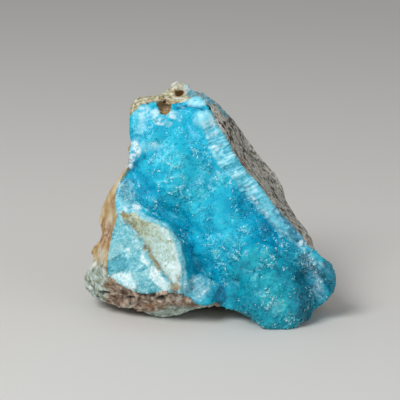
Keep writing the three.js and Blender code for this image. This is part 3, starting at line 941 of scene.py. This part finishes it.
        # The crevice is cut in and also given painted shade in the tone.
        masks.crevice = Trace(CREVICE).near(a, u, 1.8)
        masks.hollow = hollow * (1 - masks.band)
        masks.shade = spots(self.shades, a, u, 0.5 * ragged)
        masks.green = rise(29, 17, u + 3 * ragged) * rise(0, 9, a + 2 * ragged)
        masks.green = np.maximum(masks.green, 0.5 * rise(-0.1, 0.5, surface.rough(8.0, 35)))
        in_hole = Trace(TOP_HOLE).inside(a, u) + 0.3 * fine
        masks.amber = rise(-0.3, 0.3, in_hole) * front
        masks.druse = (1 - masks.wedge) * (1 - 0.8 * masks.band) * (1 - 0.7 * masks.pale)

    def measure_wedge(self) -> None:
        """Works out the parts of the wedge: its pale lip, its two faces and the rusty seam between them."""
        surface, masks, a, u = self.parts()
        ragged, fine = masks.ragged, masks.fine
        rim_distance, rim_side, _ = Trace(WEDGE_RIM).nearest(a, u)
        in_wedge = -rim_side * rim_distance
        seam_distance, seam_side, seam_along = Trace(WEDGE_SEAM).nearest(a, u)
        right_of_seam = seam_side * seam_distance + 0.3 * ragged
        wedge = rise(-0.1, 0.6, in_wedge + 0.2 * ragged) * (u > 6)
        masks.wedge = wedge
        masks.lip = rise(1.7, 0.7, in_wedge + 0.9 * ragged + 0.3 * fine) * wedge
        masks.cream = wedge * rise(-0.2, 0.3, right_of_seam) * (1 - masks.lip)
        masks.mottle = wedge * rise(0.2, -0.3, right_of_seam) * (1 - 0.6 * masks.lip)
        broken = rise(-0.3, 0.3, surface.rough(2.0, 19)) * rise(25, 12, seam_along)
        groove = rise(0.9, 0.1, seam_distance + 0.7 * ragged + 0.3 * fine)
        masks.seam = wedge * groove
        crumbs = spots(self.rusts, a, u, ragged + 0.6 * fine)
        masks.rust = np.maximum(wedge * groove * np.clip(broken + 0.25, 0, 1), crumbs)

    def shape(self) -> None:
        """Adds the crust's lumps, crystal facets, fibres and cracks."""
        surface, masks, a, u = self.parts()
        points = surface.points
        bent = surface.bent(2.6, 0.8, 43)
        domes = Cells.of(bent, self.dome_size, 13)
        # Painted light and shade: the tone is lighter at the domes' middles and darker in the clefts between
        # them.
        masks.dome = 0.55 - domes.nearest
        swell = 0.5 + 0.8 * rise(48, 26, u)
        masks.cleft = domes.borders(0.4) * swell
        patchy = rise(-0.2, 0.5, surface.rough(4.0, 33)) * rise(60, 44, u)
        masks.arcs = masks.druse * patchy * Cells.of(bent, self.arc_size, 29).borders(0.2)
        rough_places = rise(-0.1, 0.45, surface.rough(4.0, 39)) * (0.45 + 0.55 * rise(56, 38, u))
        masks.sugar = np.clip(rough_places + masks.arcs + 0.7 * masks.veil, 0, 1)
        lumps = swell * self.dome_height * (0.5 - domes.nearest**2) + 0.12 * masks.arcs
        lumps += self.lump_height * surface.rough(self.lump_size, 11)
        facets = (0.3 + 0.7 * masks.sugar) * Cells.of(points, self.facet_size, 23).facets()
        relief = masks.druse * (lumps + self.facet_height * facets)

        across_fibres = FIBRE_DIRECTION[1] * a - FIBRE_DIRECTION[0] * u + 0.3 * masks.ragged
        along_fibres = FIBRE_DIRECTION[0] * a + FIBRE_DIRECTION[1] * u
        fibre_place = np.stack([across_fibres, 0.14 * along_fibres, 0.3 * surface.out], axis=1)
        fibres = noise(fibre_place, self.fibre_pitch, 31)
        fibres += 0.7 * noise(fibre_place, self.fibre_pitch * 0.45, 37)
        masks.fibres = fibres
        lively = 0.35 + 0.65 * rise(36, 26, masks.along)
        masks.lively = lively
        masks.flakes = surface.rough(1.3, 163) * rise(26, 16, masks.along + 2 * masks.ragged)
        fibrous = lively * (1 - 0.8 * rise(0.0, 0.5, masks.flakes))
        relief += masks.band * (1 - masks.slate) * self.fibre_height * fibrous * (fibres + 0.5 * masks.ragged)
        relief += masks.band * (0.1 * masks.fine + 0.35 * masks.flakes)

        planes = Cells.of(bent, self.plane_size, 47)
        chips = Cells.of(bent, self.chip_size, 53)
        lengthwise = RIM_DIRECTION[0] * a + RIM_DIRECTION[1] * u
        crosswise = -RIM_DIRECTION[1] * a + RIM_DIRECTION[0] * u
        streaks = noise(np.stack([crosswise, 0.3 * lengthwise, 0.3 * surface.out], axis=1), 1.3, 63)
        shade = 0.1 + 0.65 * planes.own
        plane_relief = self.plane_height * planes.facets()
        chipped = np.full(surface.count, 0.5)
        for facet in self.facets:
            cover = facet.cover(a, u, masks.ragged)
            chipped = np.minimum(chipped, 0.5 - 0.2 * cover)
            shade = shade + cover * (facet.shade + 0.4 * (planes.own - 0.5) - shade)
            plane_relief = plane_relief + cover * (facet.height(a, u) + 0.06 * planes.facets() - plane_relief)
        across_cream = 0.6 + 0.045 * (a + 16) - 0.02 * (u - 22) + 0.45 * (chips.own - 0.5)
        across_cream += 0.2 * masks.ragged
        specks = rise(0.35, 0.6, surface.rough(0.7, 57)) * rise(14, 24, u - 0.5 * a)
        across_cream -= 0.45 * specks
        shade += chipped * (chips.own - 0.5) + 0.22 * streaks
        masks.cleavage = np.where(masks.cream > 0.5, across_cream, shade)
        relief += masks.mottle * (plane_relief + self.chip_height * chipped * chips.facets())
        relief += masks.cream * (0.14 * planes.facets() + 0.1 * chips.facets() + 0.14 * masks.ragged)
        cracks = self.seam_depth * masks.seam + self.crevice_depth * masks.crevice
        relief -= cracks + self.hole_depth * masks.amber
        relief -= self.shelf_depth * Trace(SHELF_SHADOW).near(a, u, 0.45)
        relief += 0.16 * masks.veil * surface.rough(1.2, 59)
        relief *= rise(0.1, 1.4, points[:, 2])
        surface.push((1 - self.close_joint()) * relief)

    def close_joint(self) -> Array:
        """Grows the hidden inner face a little way into the rock behind it, so that no gap shows.

        Returns:
            One for each point on the joint, 0 elsewhere.
        """
        surface = self.surface
        places, distances = surface.nearest_on(Node.ROCK, self.joint_reach)
        joint = np.isfinite(distances)
        grown = joint & (distances > 1e-7)
        away = places[grown] - surface.points[grown]
        surface.points[grown] += away * (1.0 + self.joint_overlap * MM / distances[grown])[:, None]
        return joint * 1.0

    def paint(self) -> None:
        """Keeps the values that the finish reads."""
        surface, masks, a, u = self.parts()
        points = surface.points
        # Painted light and shade: lighter on dome tops, on the painted highlight patches and along the
        # glinting arcs; darker in the clefts between domes, the hollows, the crevice, the painted shade
        # patches and under the shelf.
        tone = 0.63 + 0.07 * noise(points, 9.0, 61) + 0.1 * noise(points, 2.6, 67) + 0.14 * masks.dome
        tone += 0.28 * masks.arcs - 0.1 * masks.cleft
        tone += 0.12 * spots(self.lights, a, u, 0.7 * masks.ragged)
        tone -= 0.17 * masks.hollow + 0.4 * masks.shade + 0.45 * masks.crevice
        tone -= 0.5 * Trace(SHELF_SHADOW).near(a, u, 0.5)
        # A little darker in the green parts, and darker towards the back.
        tone -= 0.08 * masks.green + 0.2 * rise(-5, -14, surface.out)
        masks.tone = tone
        masks.fibre = 0.32 + 0.55 * masks.lively * masks.fibres + 0.14 * masks.fine
        masks.fibre += 0.5 * masks.flakes
        masks.white = self.whiteness() * (1 - masks.rust)
        for name in self.painted:
            keep_values(surface.obj.data, name, getattr(masks, name))
        # The crust itself carries no painted glint.
        keep_values(surface.obj.data, "painted_glint", np.zeros(surface.count))

    def whiteness(self) -> Array:
        """How white each place is: white patches, one of them a painted highlight streak on the foot, the
        ledge at the left, and veins.

        Returns:
            Values from 0 to 1.
        """
        surface, masks, a, u = self.parts()
        ragged, fine = masks.ragged, masks.fine
        grainy = 0.05 + 0.95 * rise(-0.3, 0.35, surface.rough(0.8, 68))
        blotches = spots(self.whites_and_highlights, a, u, 0.9 * ragged + 0.5 * fine)
        ledge = rise(-0.5, 0.9, Trace(WHITE_LEDGE).inside(a, u) + 1.2 * ragged)
        veins = np.zeros(surface.count)
        for vein in VEINS:
            distance = Trace(vein).nearest(a, u)[0] + 0.5 * ragged + 0.3 * fine
            veins = np.maximum(veins, rise(0.8, 0.1, distance))
        webbed = np.maximum(masks.veil, spots(self.slates[2:], a, u, ragged))
        net = Cells.of(surface.points + 0.6 * ragged[:, None], 1.9, 71).borders(0.2) * webbed
        veins *= rise(-0.7, 0.5, surface.rough(1.8, 73))
        return np.max([blotches * grainy, 1.1 * ledge * grainy, 0.7 * veins * grainy, 0.34 * net], axis=0)


@dataclass
class HostRock(StonePiece):
    """The rock that the crust grew on."""

    node: Node = Node.ROCK
    slot: Slot = Slot.ROCK
    voxel: float = 0.41
    smoothing: int = 3
    broken_size: float = 5.0
    broken_height: float = 0.55
    break_size: float = 11.0
    break_height: float = 1.3
    pit_size: float = 2.2
    pit_depth: float = 0.8
    teals: tuple[Patch, ...] = patches(
        (-5.0, 67.0, 2.8, 2.6, 0, 1.0), (-0.6, 65.2, 3.4, 1.6, -35, 1.0), (4.2, 61.8, 3.4, 1.6, -50, 0.9),
    )
    ochres: tuple[Patch, ...] = patches(
        (-9.2, 68.2, 0.7, 0.6, 0, 1.2), (-18.6, 64.2, 2.2, 0.9, 10, 0.7), (-11.8, 65.1, 1.6, 0.6, 10, 0.9),
    )
    nodule: Patch = Patch(-9.4, 68.4, 1.5, 1.5)
    nodule_height: float = 0.8
    spots_end: float = -20.0
    strip_end: float = -18.0
    cavities_end: float = -13.0
    edge_reach: float = 1.3
    brown_foot: Patch = Patch(-17.5, 6.4, 6.0, 1.6)
    chunk_size: float = 2.8
    chunk_height: float = 0.55
    grain_height: float = 0.22
    crack_depth: float = 0.4
    gap_depth: float = 0.3
    cavity_depth: float = 0.7
    hole_depth: float = 0.5
    worn: float = 0.15
    rusts: tuple[Patch, ...] = patches(
        (9.4, 47.0, 1.9, 0.5, -52, 0.9), (-16.5, 7.0, 3.0, 0.5, 8, 1.2), (-29.0, 12.6, 1.6, 0.9, 20, 0.8),
        (27.6, 25.6, 0.9, 1.4, 20, 0.7), (-29.4, 26.4, 2.6, 5.4, -12, 0.85),
        (-27.0, 36.0, 0.9, 4.0, -20, 0.6),
    )
    cavities: tuple[Patch, ...] = patches(
        (-30.0, 10.5, 2.0, 0.5, -8, 1.4), (-18.8, 9.9, 1.8, 0.4, -8, 1.4), (-13.2, 9.3, 3.0, 0.5, 20, 1.4),
        (-22.6, 8.8, 1.6, 0.5, 10, 1.0), (-0.2, 62.0, 0.6, 1.0, 30, 2.0),
    )
    # White crumbs and quartz; the thin line on the glassy bulge at the lower left is a painted highlight.
    whites_and_highlights: tuple[Patch, ...] = patches(
        (-9.4, 68.6, 1.6, 1.3, 0, 1.0), (-6.6, 67.9, 1.3, 1.5, 0, 0.6), (-32.9, 18.1, 2.1, 0.55, 45, 1.5),
        (-34.4, 11.0, 1.0, 2.2, 0, 0.7), (27.2, 26.0, 1.0, 1.6, 20, 0.9), (-24.6, 34.8, 1.2, 2.4, 0, 0.8),
        (-9.0, 8.6, 1.6, 0.9, 0, 0.5), (-7.2, 66.4, 0.6, 1.1, -15, 1.1), (-8.7, 64.9, 1.4, 0.4, 5, 1.0),
        (-28.6, 29.0, 1.2, 5.0, -10, 0.5), (-30.4, 21.6, 1.8, 2.6, 0, 0.6),
    )

    def measure(self) -> None:
        """Works out where each kind of rock lies."""
        surface, masks, a, u = self.parts()
        out = surface.out
        ragged = surface.rough(4.0, 101)
        masks.ragged = ragged
        depth = rise(-10, -18, out)
        masks.depth = depth
        blotched = (1 + 5 * depth) * (ragged + 0.6 * surface.rough(9.0, 103))
        slant = a * 0.78 + (u - 30) * 0.62
        fading = rise(-36, -20, out + 6 * ragged)
        masks.grey = rise(8.0, 11.0, slant + blotched) * fading
        masks.ochre = rise(-17.0, -21.0, a + 1.2 * ragged) * rise(15, 21, u + blotched)
        masks.ochre *= rise(62, 46, u + blotched) * rise(-30, -18, out + 6 * ragged)
        top = rise(59.5, 62.0, u + 1.5 * ragged + 0.5 * np.minimum(out + 10, 0))
        masks.teal = spots(self.teals, a, u, 0.6 * ragged) * rise(-20, -12, out + 2 * ragged)
        masks.cream_rim = top * rise(-1.5, -5.5, a + 1.5 * ragged)
        masks.grey *= (1 - masks.cream_rim) * (1 - masks.teal)
        in_hole = np.maximum(Trace(TOP_HOLE).inside(a, u), Trace(RIM_HOLE).inside(a, u))
        masks.amber = rise(-0.3, 0.3, in_hole + 0.2 * ragged) * (out > self.strip_end)
        masks.rosy = rise(13.5, 12.0, u + ragged) * rise(-2.0, -5.0, a) * rise(4.6, 6.4, u)
        foot = self.brown_foot.cover(a, u, 0.5 * ragged)
        masks.rosy = np.maximum(masks.rosy, foot) * (out > self.strip_end)
        masks.glassy = np.maximum(
            rise(-28.0, -30.0, a + 0.8 * ragged)
            * rise(22, 16, u + 0.8 * blotched)
            * rise(-28, -14, out + blotched),
            rise(7.4, 6.0, u + 0.5 * ragged) * rise(-26, -16, out + 4 * ragged) * (1 - foot),
        )

    def shape(self) -> None:
        """Adds the rock's breaks, pits and grooves."""
        surface, masks, a, u = self.parts()
        points = surface.points
        bent = surface.bent(4.0, 1.2, 115)
        breaks = Cells.of(bent, self.break_size, 119)
        masks.cracks = breaks.borders(0.06) * masks.depth * rise(0.0, 0.6, surface.rough(8.0, 121))
        broken = self.broken_height * Cells.of(points, self.broken_size, 107).facets()
        broken += masks.depth * self.break_height * breaks.facets() - self.crack_depth * masks.cracks
        grain = self.grain_height * surface.rough(1.4, 109)
        pits = rise(0.25, 0.7, surface.rough(self.pit_size, 113))
        masks.pits = pits
        cavities = spots(self.cavities, a, u, 0.5 * masks.ragged)
        cavities *= surface.out > self.cavities_end
        chunks = Cells.of(points + 0.5 * masks.ragged[:, None], self.chunk_size, 127)
        masks.gaps = masks.rosy * chunks.borders(0.12)
        broken += masks.rosy * self.chunk_height * chunks.facets() - self.gap_depth * masks.gaps
        steady = 1 - 0.7 * masks.grey
        relief = steady * (broken + grain) - self.pit_depth * pits * (0.2 * steady + masks.rosy)
        relief -= self.cavity_depth * cavities
        relief += 0.4 * masks.cream_rim * surface.rough(2.0, 123) - self.hole_depth * masks.amber
        knob = self.nodule.cover(a, u, np.zeros(surface.count))
        knob *= surface.out > self.strip_end
        relief += self.nodule_height * knob
        smooth = 0.8 * masks.ochre * rise(26, 34, u) + 0.4 * masks.glassy
        relief *= 1 - smooth * (1 - masks.depth)
        raised = rise(0.1, 1.4, points[:, 2])
        relief *= raised
        surface.push(relief - self.worn * raised)
        masks.relief = relief

    def paint(self) -> None:
        """Keeps the values that the finish reads."""
        surface, masks, a, u = self.parts()
        ragged = masks.ragged + 0.5 * surface.rough(1.2, 151)
        front = surface.out > self.spots_end
        # Painted light and shade: lighter where the relief stands out, darker in its pits, hollows and
        # cracks.
        tone = 0.38 + 0.3 * surface.rough(7.0, 137) + 0.25 * masks.relief - 0.3 * masks.cracks
        keep_values(surface.obj.data, "tone", tone)
        sparse = rise(-0.6, 0.3, surface.rough(7.0, 143) + 0.5 * (1 - masks.depth))
        flecked = masks.grey * (0.25 + 0.75 * sparse) * (1 - 0.45 * masks.depth)
        keep_values(surface.obj.data, "flecked", flecked)
        masks.ochre = np.maximum(masks.ochre, spots(self.ochres, a, u, 0.5 * ragged) * front)
        for name in ("grey", "ochre", "cream_rim", "teal", "rosy", "glassy", "amber"):
            keep_values(surface.obj.data, name, getattr(masks, name))
        # Painted shade in the pits, cavities and gaps between chunks.
        holes = rise(0.5, 1.0, masks.pits) * (0.12 + 0.8 * masks.rosy)
        cavities = spots(self.cavities, a, u, 0.5 * ragged) * (surface.out > self.cavities_end)
        painted_hollow_shade = np.max([holes, cavities, 0.6 * masks.gaps], axis=0)
        keep_values(surface.obj.data, "painted_hollow_shade", painted_hollow_shade * (1 - np.clip(masks.amber, 0, 1)))
        grains = rise(0.55, 0.9, surface.rough(3.0, 139)) * masks.glassy
        beside = self.edge_of_crust()
        crumbs = rise(0.1, 0.6, surface.rough(1.6, 141)) * beside
        speckled = rise(-0.2, 0.3, surface.rough(1.2, 155))
        # White spots, with the painted highlight on the glassy bulge.
        whites_and_highlights = spots(self.whites_and_highlights, a, u, 0.7 * ragged) * front * (0.45 + 0.55 * speckled)
        whites_and_highlights *= 1 - 0.75 * spots(self.ochres[:1], a, u, 0.5 * ragged)
        keep_values(surface.obj.data, "white", np.max([grains, 0.7 * crumbs, whites_and_highlights], axis=0))
        stains = 0.5 * rise(0.5, 0.85, surface.rough(5.0, 149)) * (1 - masks.ochre)
        crumbs = rise(0.1, 0.5, surface.rough(1.3, 153)) * beside
        mottled = rise(0.35, -0.25, surface.rough(0.9, 157))
        rusty = spots(self.rusts, a, u, 0.8 * ragged) * front * (0.25 + 0.75 * mottled)
        keep_values(surface.obj.data, "rust", np.max([stains, rusty, 0.6 * crumbs], axis=0))

    def edge_of_crust(self) -> Array:
        """One beside the crust, falling to 0 at the end of its edge's reach."""
        distances = self.surface.nearest_on(Node.CRUST, self.edge_reach)[1]
        return np.maximum(0.0, 1.0 - distances / (self.edge_reach * MM))


@dataclass
class CrystalGrains:
    """The small bladed crystals that cover the crust; those turned towards the light also carry a painted
    glint, a pale colour.
    """

    count: int = 7000
    groups: int = 3
    smallest: float = 0.2
    largest: float = 0.62
    length: float = 0.8
    flatness: float = 0.75
    sunk: float = 0.46
    lean: float = 0.5
    glint_axis: tuple[float, float, float] = (-0.22, -0.83, 0.51)
    glint_height: float = 0.4
    glint_growth: float = 0.92
    glint_length: float = 1.7
    tone_spread: float = 0.1
    most_glint_chance: float = 0.6
    seed: int = 7
    # Spots where more crystals carry a painted glint.
    glitter: tuple[Patch, ...] = patches(
        (13.6, 24.6, 2.6, 0.7, 10), (10.1, 28.3, 1.3, 1.6), (7.6, 20.7, 1.0, 1.6), (7.0, 13.7, 1.1, 0.9),
        (12.6, 7.0, 2.0, 1.2), (16.8, 19.6, 1.2, 2.2), (23.2, 10.4, 0.7, 3.0), (21.0, 17.0, 1.4, 0.8),
        (24.2, 16.2, 1.2, 0.7), (-2.0, 26.0, 3.0, 2.4, 0, 0.4), (-17.0, 41.0, 3.4, 1.4, -40, 0.6),
        (-5.0, 52.0, 2.0, 4.0, 0, 0.8), (-7.4, 56.0, 2.6, 1.4, 0, 0.8), (4.4, 31.0, 2.4, 3.4, 0, 0.4),
        (17.0, 8.0, 4.0, 3.0, 0, 0.4),
    )

    def crystal(self) -> tuple[Array, Array]:
        """One blade of unit width with a pointed end, standing on the origin.

        Returns:
            Its corners and its triangles.
        """
        shape = bmesh.new()
        bmesh.ops.create_cone(shape, cap_ends=True, segments=4, radius1=0.5, radius2=0.42, depth=self.length)
        top = [f for f in shape.faces if f.normal.z > 0.9]
        tip = bmesh.ops.poke(shape, faces=top)["verts"]
        bmesh.ops.translate(shape, verts=tip, vec=(0.0, 0.1, 0.3))
        bmesh.ops.scale(shape, verts=shape.verts, vec=(1.0, self.flatness, 1.0))
        bmesh.ops.translate(shape, verts=shape.verts, vec=(0.0, 0.0, 0.5 * self.length - self.sunk))
        bmesh.ops.triangulate(shape, faces=shape.faces)
        shape.verts.index_update()
        corners = np.array([v.co for v in shape.verts])
        faces = np.array([[v.index for v in f.verts] for f in shape.faces])
        shape.free()
        return corners, faces

    def chances(self, crust: Crust) -> tuple[Array, Array]:
        """Works out where the crystals grow and where they carry a painted glint.

        Args:
            crust: the finished crust.

        Returns:
            The summed chance of each of its points to carry a crystal, and the chance of a crystal there to
            carry a painted glint.
        """
        masks, surface = crust.masks, crust.surface
        bare = masks.band * (1 - 0.3 * masks.slate)
        density = masks.druse * (1 - 0.6 * bare) + 0.16 * masks.mottle
        density += 0.06 * masks.cream + 0.02
        density *= 0.05 + 0.95 * masks.sugar ** 1.4 * rise(-0.4, 0.4, surface.rough(1.8, 83))
        density *= rise(-14.0, -9.0, surface.out) * (surface.normals[:, 1] < 0.35)
        density *= 1 - 0.85 * np.clip(masks.amber, 0, 1)
        clusters = rise(0.1, 0.7, surface.rough(3.2, 89))
        arcs = masks.arcs
        spotted = spots(self.glitter, surface.across, surface.up, 0.5 * masks.ragged)
        # Painted glints come more often on the wedge, in clusters, along the arcs and in the glitter spots.
        glint_chance = 0.3 * masks.mottle + 0.1 * masks.cream
        glint_chance = glint_chance + 0.004 + 0.04 * clusters + 0.42 * arcs + spotted * (0.16 + 0.4 * arcs)
        density = density * (1 + arcs + spotted)
        return np.cumsum(density / density.sum()), np.clip(glint_chance, 0, self.most_glint_chance)

    def build(self, crust: Crust) -> list[bpy.types.Object]:
        """Scatters copies of the crystal over the crust, in a few objects.

        Args:
            crust: the finished crust.

        Returns:
            The crystals.
        """
        chooser = np.random.default_rng(self.seed)
        chance, glint_chance = self.chances(crust)
        names = [f"crystal_grains_{group + 1}" for group in range(self.groups)]
        return [self.scatter(name, chooser, crust.surface, chance, glint_chance) for name in names]

    def scatter(
        self, name: str, chooser: np.random.Generator, surface: Surface, chance: Array, glint_chance: Array
    ) -> bpy.types.Object:
        """Makes one object of many crystals.

        Args:
            name: its name.
            chooser: the source of chance.
            surface: the crust's finished surface.
            chance: the summed chance of each of its points to carry a crystal.
            glint_chance: the chance of a crystal there to carry a painted glint.

        Returns:
            The object.
        """
        corners, faces = self.crystal()
        roots = np.clip(np.searchsorted(chance, chooser.random(self.count)), 0, surface.count - 1)
        size = self.smallest + (self.largest - self.smallest) * chooser.random(self.count) ** 2
        # Lit crystals face the glint axis and are also painted pale: a painted glint.
        lit = (chooser.random(self.count) < glint_chance[roots]) * (0.15 + 0.85 * chooser.random(self.count) ** 2)
        shines = (lit > 0)[:, None]
        facing = np.where(shines, np.array(self.glint_axis), surface.normals[roots])
        axis = facing + self.lean * (1 - 0.6 * shines) * chooser.normal(size=(self.count, 3))
        axis /= np.linalg.norm(axis, axis=1)[:, None]
        side = np.cross(axis, chooser.normal(size=(self.count, 3)))
        side /= np.linalg.norm(side, axis=1)[:, None]
        size = np.where(lit > 0, self.glint_growth * size, size)
        tall = np.where(shines, self.glint_height, 1.0)
        long = np.where(shines, self.glint_length, 1.0)
        turns = np.stack([long * side, np.cross(axis, side), tall * axis], axis=1)
        placed = np.einsum("vk,nkc->nvc", corners, turns * size[:, None, None])
        raised = surface.points[roots] + 0.1 * shines * surface.normals[roots]
        placed = kept_in_box(placed + raised[:, None, :])
        joined = faces[None, :, :] + (np.arange(self.count) * len(corners))[:, None, None]
        mesh = bpy.data.meshes.new(name)
        mesh.from_pydata((placed * MM).reshape(-1, 3).tolist(), [], joined.reshape(-1, 3).tolist())
        for painted in Crust.painted:
            held = np.zeros(surface.count, dtype=np.float32)
            surface.obj.data.attributes[painted].data.foreach_get("value", held)
            own = held[roots]
            if painted == "tone":
                own = own + self.tone_spread * (0.5 + chooser.normal(size=self.count))
            keep_values(mesh, painted, np.repeat(own, len(corners)))
        # Painted glint: how pale each lit crystal is painted.
        keep_values(mesh, "painted_glint", np.repeat(lit, len(corners)))
        mesh.materials.append(surface.obj.data.materials[0])
        grains = into_scene(name, mesh)
        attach(grains, "root")
        return grains


@dataclass
class Studio:
    """The floor, the lights and the camera."""

    view_width: float = 112.0
    sensor: float = 36.0
    floor_colour: Colour = (214, 213, 210)
    floor_half: float = 1.5
    floor_bend: float = 0.6
    key_power: float = 5.0
    fill_power: float = 0.9
    world_light: float = 0.36
    aim_height: float = 0.03

    def floor(self) -> None:
        """A pale floor that curves up behind the stone."""
        shape = bmesh.new()
        bmesh.ops.create_grid(shape, x_segments=1, y_segments=1, size=self.floor_half)
        back = [e for e in shape.edges if all(v.co.y > 1.0 for v in e.verts)]
        grown = bmesh.ops.extrude_edge_only(shape, edges=back)["geom"]
        raised = [v for v in grown if isinstance(v, bmesh.types.BMVert)]
        bmesh.ops.translate(shape, verts=raised, vec=(0, 0, self.floor_half))
        bmesh.ops.bevel(
            shape, geom=back, offset=self.floor_bend, offset_type="OFFSET", segments=16, profile=0.5,
            affect="EDGES", material=-1,
        )
        mesh = bpy.data.meshes.new("floor")
        shape.to_mesh(mesh)
        shape.free()
        mesh.polygons.foreach_set("use_smooth", [True] * len(mesh.polygons))
        finish = NodeTree("floor", {"Base Color": linear(self.floor_colour), "Roughness": 0.9})
        mesh.materials.append(finish.material)
        into_scene("floor", mesh)

    def lamp(self, name: str, place: tuple[float, float, float], size: float, power: float) -> None:
        """A square soft light that faces the stone.

        Args:
            name: its name.
            place: where it hangs, in metres.
            size: its side, in metres.
            power: its power, in watts.
        """
        light = bpy.data.lights.new(name, "AREA")
        light.size = size
        light.energy = power
        lamp = into_scene(name, light)
        lamp.location = place
        aim = Vector((0, 0, self.aim_height)) - Vector(place)
        lamp.rotation_euler = aim.to_track_quat("-Z", "Y").to_euler()

    def camera(self) -> None:
        """The camera, straight in front of the leaning face."""
        data = bpy.data.cameras.new("camera")
        data.sensor_width = self.sensor
        data.lens = self.sensor * FACE.eye_distance / self.view_width
        data.clip_start = 0.01
        camera = into_scene("camera", data)
        place = FACE.standing() @ Vector((FACE.eye_across, FACE.eye_up, FACE.eye_distance))
        camera.location = place * MM
        camera.rotation_euler = (math.pi / 2 - FACE.lean, 0, 0)
        bpy.context.scene.camera = camera

    def build(self) -> None:
        """Sets the whole studio up."""
        self.camera()
        self.floor()
        self.lamp("key", (-0.35, -0.5, 0.6), 0.35, self.key_power)
        self.lamp("fill", (0.6, -0.5, 0.3), 0.6, self.fill_power)
        world = bpy.data.worlds.new("studio")
        world.use_nodes = True
        background = world.node_tree.nodes["Background"]
        background.inputs["Color"].default_value = (1, 1, 1, 1)
        background.inputs["Strength"].default_value = self.world_light
        bpy.context.scene.world = world
        bpy.context.scene.view_settings.view_transform = "Standard"


def report(piece: bpy.types.Object) -> None:
    """Logs a piece's name and size."""
    size = ", ".join(f"{edge / MM:.1f}" for edge in piece.dimensions)
    LOG.info("%s: %d faces, %s mm", piece.name, len(piece.data.polygons), size)


def main() -> None:
    """Builds the studio and the stone."""
    logging.basicConfig(level=logging.INFO, format="%(name)s: %(message)s")
    Studio().build()
    report(HostRock().build(RockFinish().material()))
    crust = Crust()
    report(crust.build(CrustFinish().material()))
    for grains in CrystalGrains().build(crust):
        report(grains)


if __name__ == "__main__":
    main()
